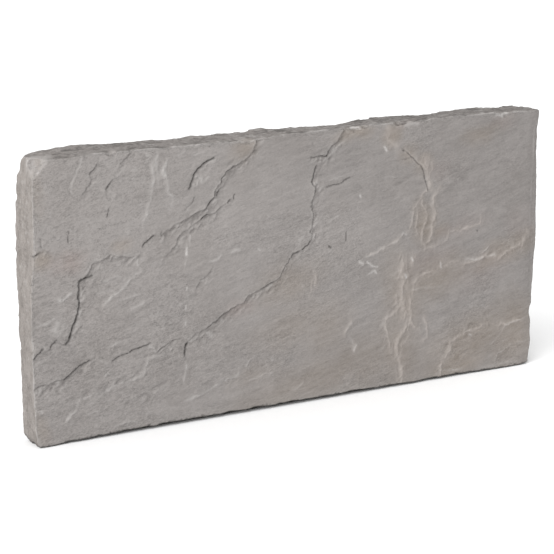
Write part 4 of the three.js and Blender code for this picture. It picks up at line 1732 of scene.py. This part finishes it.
    def riven(self, points: np.ndarray) -> np.ndarray:
        """Gives both faces their riven relief.

        Args:
            points: the stone's points.

        Returns:
            The moved points.
        """
        x, y, z = points.T
        face = points[:, [0, 2]]
        show_share = 1.0 - smooth(0.0, self.face_depth, y + self.thickness / 2)
        back_share = 1.0 - smooth(0.0, self.face_depth, self.thickness / 2 - y)
        show, back = np.zeros((2, len(points)))
        near = show_share > 0.0
        waves = self.swell[0] * self.show.riven(face[near], 0.6)
        show[near] = self.show.relief(face[near], waves)
        width, depth = self.bevel
        show -= depth * smooth(self.length / 2 - width, self.length / 2 + 2.0, x)
        near = back_share > 0.0
        waves = self.swell[1] * self.show.riven(face[near] * (-1.0, 1.0), 2.9)
        back[near] = self.show.relief(face[near], waves, self.back_depth)
        return np.stack([x, y - show * show_share + back * back_share, z], 1)

    def broken(self, points: np.ndarray) -> np.ndarray:
        """Knocks off the corners and flakes the scoops out of the arrises.

        Args:
            points: the stone's points.

        Returns:
            The moved points.
        """
        rough = 0.8 * layered(points, 14.0, Seed.BREAK, 3)
        for corner in CORNERS:
            faces = np.array(corner.faces) / np.linalg.norm(corner.faces)
            over = (points - np.array(corner.at)) @ faces - rough
            points = points - np.maximum(over, 0.0)[:, None] * faces
        for scoop in SCOOPS:
            faces = np.array(scoop.faces) / np.linalg.norm(scoop.faces)
            centre = np.array(scoop.at) + faces * (scoop.radius - scoop.depth)
            away = points - centre
            distance = np.linalg.norm(away, axis=1)
            inside = np.maximum(scoop.radius - rough - distance, 0.0)
            points = points + away * (inside / distance)[:, None]
        return points

    def arris_lines(self, points: np.ndarray, numbers: np.ndarray) -> bpy.types.Object:
        """Draws a line just outside each arris of the block.

        Args:
            points: the stone's points.
            numbers: point numbers of the lattice.

        Returns:
            A curve object with one straight-segment spline for each arris.
        """
        curve = bpy.data.curves.new("arris_lines", "CURVE")
        curve.dimensions = "3D"
        ends = [(face, other) for face, other in itertools.combinations(Face, 2)
                if face.value[0] != other.value[0]]
        for face, other in ends:
            place = [slice(None)] * 3
            outwards = np.zeros(3)
            for side in (face, other):
                axis, end = side.value
                place[axis] = -end
                outwards[axis] = 2.0 * end - 1.0
            standoff = self.bite_standoff
            if Face.BACK in (face, other):
                standoff = self.back_standoff
            if {face, other} in ({Face.RIGHT, Face.SHOW}, {Face.BED, Face.SHOW}):
                standoff = self.crisp_standoff
            run = points[numbers[tuple(place)]][::self.line_step]
            run = run + outwards * standoff / math.sqrt(2.0)
            spline = curve.splines.new("POLY")
            spline.points.add(len(run) - 1)
            spline.points.foreach_set("co", np.c_[run, np.ones(len(run))].ravel())
        return put("arris_lines", curve)

    def skin(self) -> tuple[bpy.types.Object, bpy.types.Object]:
        """Builds the stone's skin, in millimetres.

        Returns:
            The skin, and the curve object with its arris lines.
        """
        plain, squares, numbers = self.lattice()
        points = self.rubbly(self.outlined(self.rounded(plain)), plain)
        points = self.broken(self.riven(points))
        mesh = bpy.data.meshes.new("stone_skin")
        mesh.from_pydata(points.tolist(), [], squares.tolist())
        riven_face = np.abs(plain[:, 1]) == self.thickness / 2
        dressed = np.where(riven_face, 0.0, 1.0)
        x, y, z = plain.T
        faces = np.stack([self.length / 2 - np.abs(x), self.thickness / 2 - np.abs(y),
                          self.height - z, z], 1)
        arris = np.sort(faces, axis=1)[:, 1]
        dressed = np.where(riven_face, 1.0 - smooth(0.0, 3.0, arris), dressed)
        bedded = np.where((z == 0.0) & (faces[:, 1] > 0.6 * self.bed_setback), 1.0, 0.0)
        rough = self.show.roughness(plain[:, [0, 2]])
        store(mesh, {"dressed": dressed, "bedded": bedded, "arris": arris, "rough": rough})
        return put("stone_skin", mesh), self.arris_lines(points, numbers)

    def thinned(self, stone: bpy.types.Object) -> None:
        """Thins out the skin where it is plain, and least along its marks.

        Args:
            stone: the stone, which gets the modifier.
        """
        mesh = stone.data
        points = coordinates(mesh)
        kept = np.zeros(len(points))
        kept[points[:, 0] < -0.49 * self.length] = 0.6
        kept[points[:, 2] > 0.985 * self.height] = 0.6
        for outwards, least, most in ((-1.0, 0.25, 1.0), (1.0, 0.0, 0.4)):
            face = np.flatnonzero(outwards * points[:, 1] > self.thickness / 4)
            marks = self.show.markings(points[face][:, [0, 2]])
            shown = np.maximum.reduce([marks[name] for name in ("vein", "crevice_shade", "edge")])
            kept[face] = least + (most - least) * np.clip(shown, 0.0, 1.0)
        group = stone.vertex_groups.new(name="detail")
        steps = 8
        levels = np.round((1.0 - kept) * steps)
        for level in range(steps + 1):
            group.add(np.flatnonzero(levels == level).tolist(), level / steps, "REPLACE")
        thin = stone.modifiers.new("thin", "DECIMATE")
        thin.ratio = min(1.0, self.triangles / (2.0 * len(mesh.polygons)))
        thin.vertex_group = group.name
        thin.vertex_group_factor = self.detail_share

    def build(self) -> bpy.types.Object:
        """Builds the stone and dresses it.

        Returns:
            The finished stone, in metres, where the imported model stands.
        """
        material = self.finish.build()
        stone, lines = self.skin()
        ArrisChips().fit(stone, lines, material)
        RivenGrain().fit(stone, material)
        self.thinned(stone)
        view = bpy.context.evaluated_depsgraph_get()
        mesh = bpy.data.meshes.new_from_object(stone.evaluated_get(view))
        for spare in (stone, lines):
            bpy.data.objects.remove(spare)
        self.mark(mesh)
        self.place(mesh)
        mesh.name = "sandstone_slab"
        mesh.shade_smooth()
        return put("sandstone_slab", mesh)

    def mark(self, mesh: bpy.types.Mesh) -> None:
        """Stores on the finished skin what colours it, with painted shade and highlight.

        Args:
            mesh: the skin, in millimetres.
        """
        points = coordinates(mesh)
        normals = np.empty(len(points) * 3, np.float32)
        mesh.vertex_normals.foreach_get("vector", normals)
        facing = -normals.reshape(-1, 3)[:, 1]
        marks = {name: np.zeros(len(points)) for name in MARKS}
        for outwards, share in ((-1.0, 1.0), (1.0, self.back_marks)):
            towards = -outwards * facing
            face = np.flatnonzero((outwards * points[:, 1] > self.thickness / 4)
                                  & (towards > -0.2))
            for name, values in self.show.markings(points[face][:, [0, 2]]).items():
                marks[name][face] = share * values * smooth(-0.1, 0.5, towards[face])
        arris = np.empty(len(points), np.float32)
        mesh.attributes["arris"].data.foreach_get("value", arris)
        # Pale worn arrises, with painted highlight where they catch the light.
        wear_and_highlight = 0.6 * smooth(-0.5, 0.5, noise(points, 11.0, Seed.WEAR))
        ends = (points[:, 0] < -0.45 * self.length) & (facing > 0.0)
        broken = smooth(-0.4, 0.3, layered(points, 30.0, Seed.WORN, 3))
        wear_and_highlight = np.where(ends, 0.35 + 0.6 * broken, wear_and_highlight)
        tops = (points[:, 2] > 0.95 * self.height) & (facing > 0.0) & ~ends
        wear_and_highlight = np.where(tops, 0.1 + 0.75 * broken, wear_and_highlight)
        wear_and_highlight *= hump(arris, self.arris_wear) * smooth(410.0, 385.0, points[:, 2] * ends)
        overlay(marks["edge"], ..., wear_and_highlight)
        up = normals.reshape(-1, 3)[:, 2]
        # Painted shade on the undersides near the floor.
        underside_shade = smooth(0.25, 0.7, -up) * (points[:, 2] < self.underside_shade)
        overlay(marks["crevice_shade"], ..., underside_shade)
        # Painted shade on the upward faces of the top, which get little light from above.
        on_top = (points[:, 2] > 0.9 * self.height) & (arris > 0.8)
        marks["top_shade_and_dim_ends"] = smooth(0.3, 0.8, up) * on_top
        self.mark_dressed(points, normals.reshape(-1, 3), marks)
        store(mesh, marks)

    def mark_dressed(self, points: np.ndarray, normals: np.ndarray,
                     marks: dict[str, np.ndarray]) -> None:
        """Paints shade into the hollows and highlight onto the ribs of the dressed ends and top.

        Args:
            points: points of the finished skin.
            normals: the way each of them faces.
            marks: the markings so far, which are added to.
        """
        rib = self.ribs(points)
        top = smooth(0.4, 0.8, normals[:, 2])
        end = smooth(0.5, 0.85, np.abs(normals[:, 0]))
        gap = np.linalg.norm(points - (-self.length / 2, -self.thickness / 2, self.height),
                             axis=1)
        corner = smooth(*self.corner_break, gap) * smooth(-0.97, -0.9, normals[:, 1])
        # Painted shade in the hollows between the ribs; dark flecks are added below.
        hollow_shade_and_flecks = smooth(0.1, 0.45, -rib) * (0.6 * top + 0.12 * end)
        chips = layered(points, 7.0, Seed.CHIP, 3, 0.7)
        flecks = smooth(0.15, 0.5, chips)
        # Painted highlight on the proud ribs, with pale flecks and the pale break of the corner.
        proud = smooth(0.1, 0.55, rib) * (0.5 * top + 0.12 * end)
        proud = np.maximum(proud, flecks * (0.45 * top + 0.35 * end))
        proud = np.maximum(proud, corner * (0.3 + 0.5 * flecks))
        hollow_shade_and_flecks = np.maximum(hollow_shade_and_flecks, smooth(0.15, 0.5, -chips) * (0.5 * top + 0.15 * end))
        marks["crevice_shade"] = np.maximum(marks["crevice_shade"], hollow_shade_and_flecks) * (1.0 - corner)
        marks["top_shade_and_dim_ends"] *= 1.0 - corner
        overlay(marks["edge"], ..., proud)
        # The ends are darkened a little.
        overlay(marks["top_shade_and_dim_ends"], ..., 0.2 * end)
        overlay(marks["rust"], ..., 0.4 * end * (normals[:, 0] < 0.0))

    def place(self, mesh: bpy.types.Mesh) -> None:
        """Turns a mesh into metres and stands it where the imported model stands.

        Args:
            mesh: the skin, in millimetres.
        """
        points = coordinates(mesh)
        points[:, 2] = np.maximum(points[:, 2], 0.0)
        log.info("skin from %s to %s mm", points.min(0).round(2), points.max(0).round(2))
        points += self.origin_shift
        mesh.vertices.foreach_set("co", (points * MM).astype(np.float32).ravel())
        mesh.update()


def coordinates(mesh: bpy.types.Mesh) -> np.ndarray:
    """Reads the points of a mesh.

    Args:
        mesh: mesh to read.

    Returns:
        The points, as rows of X, Y and Z.
    """
    flat = np.empty(len(mesh.vertices) * 3, np.float32)
    mesh.vertices.foreach_get("co", flat)
    return flat.reshape(-1, 3).astype(float)


def store(mesh: bpy.types.Mesh, values: dict[str, np.ndarray]) -> None:
    """Stores one number for each point of a mesh under each name.

    Args:
        mesh: mesh that gets them.
        values: the numbers, in the order of its points.
    """
    for name, numbers in values.items():
        layer = mesh.attributes.new(name, "FLOAT", "POINT")
        layer.data.foreach_set("value", numbers.astype(np.float32))


@dataclass
class Studio:
    """The pale floor, the soft light and the camera.

    Attributes:
        camera_place: where the camera stands, in metres.
        camera_turn: how far it is turned from +Y towards +X, in degrees.
        camera_dip: how far it looks down, in degrees.
        camera_roll: how far it leans to its left, in degrees.
        focal_length: focal length of its lens, in millimetres.
        sensor: width of its sensor, in millimetres.
        floor_half: half the width of the floor, in metres.
        floor_tone: how much light the floor gives back.
        sky: strength of the even light from all round.
        key_strength: strength of the soft main light.
        key_spread: how wide the main light looks from the stone, in degrees.
        key_from: direction that the main light comes from.
    """

    camera_place: tuple[float, float, float] = (-1.6513, -2.5145, 0.8649)
    camera_turn: float = 32.821
    camera_dip: float = 12.556
    camera_roll: float = 0.332
    focal_length: float = 130.5
    sensor: float = 36.0
    floor_half: float = 40.0
    floor_tone: float = 0.86
    sky: float = 0.90
    key_strength: float = 3.1
    key_spread: float = 50.0
    key_from: tuple[float, float, float] = (-0.74, -0.43, 0.52)

    def floor(self) -> bpy.types.Object:
        """Lays the floor that the stone stands on.

        Returns:
            The floor.
        """
        mesh = bpy.data.meshes.new("studio_floor")
        half = self.floor_half
        corners = [(-half, -half, 0.0), (half, -half, 0.0), (half, half, 0.0),
                   (-half, half, 0.0)]
        mesh.from_pydata(corners, [], [(0, 1, 2, 3)])
        material = bpy.data.materials.new("studio_floor")
        material.use_nodes = True
        shader = material.node_tree.nodes["Principled BSDF"]
        shader.inputs["Base Color"].default_value = (*[self.floor_tone] * 3, 1.0)
        shader.inputs["Roughness"].default_value = 1.0
        shader.inputs["Specular IOR Level"].default_value = 0.0
        mesh.materials.append(material)
        return put("studio_floor", mesh)

    def camera(self) -> bpy.types.Object:
        """Stands the camera where it sees the show face and the left end.

        Returns:
            The camera.
        """
        lens = bpy.data.cameras.new("studio_camera")
        lens.sensor_width = self.sensor
        lens.lens = self.focal_length
        camera = put("studio_camera", lens)
        camera.location = self.camera_place
        level = Euler((math.radians(90.0 - self.camera_dip), 0.0,
                       math.radians(-self.camera_turn))).to_matrix()
        lean = Matrix.Rotation(math.radians(self.camera_roll), 3, "Z")
        camera.rotation_euler = (level @ lean).to_euler()
        bpy.context.scene.camera = camera
        return camera

    def lights(self) -> bpy.types.Object:
        """Sets the soft main light on the left and lights the room evenly.

        Returns:
            The main light.
        """
        lamp = bpy.data.lights.new("soft_light", "SUN")
        lamp.energy = self.key_strength
        lamp.angle = math.radians(self.key_spread)
        key = put("soft_light", lamp)
        key.rotation_euler = Vector(self.key_from).to_track_quat("Z", "Y").to_euler()
        world = bpy.data.worlds.new("studio_room")
        world.use_nodes = True
        room = world.node_tree.nodes["Background"]
        room.inputs["Color"].default_value = (1.0, 1.0, 1.0, 1.0)
        room.inputs["Strength"].default_value = self.sky
        bpy.context.scene.world = world
        bpy.context.scene.view_settings.view_transform = "Standard"
        return key


def main() -> None:
    """Builds the studio and the stone, and reports each piece."""
    logging.basicConfig(level=logging.INFO, format="%(name)s: %(message)s")
    studio = Studio()
    camera = studio.camera()
    log.info("camera %s at %s", camera.name, tuple(camera.location))
    lamp = studio.lights()
    log.info("light %s, %.0f degrees wide", lamp.name, studio.key_spread)
    floor = studio.floor()
    log.info("floor %s", floor.name)
    stone = EdgingStone().build()
    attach(stone, BODY)
    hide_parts(NODE)
    log.info("stone %s, %d faces", stone.name, len(stone.data.polygons))


if __name__ == "__main__":
    main()
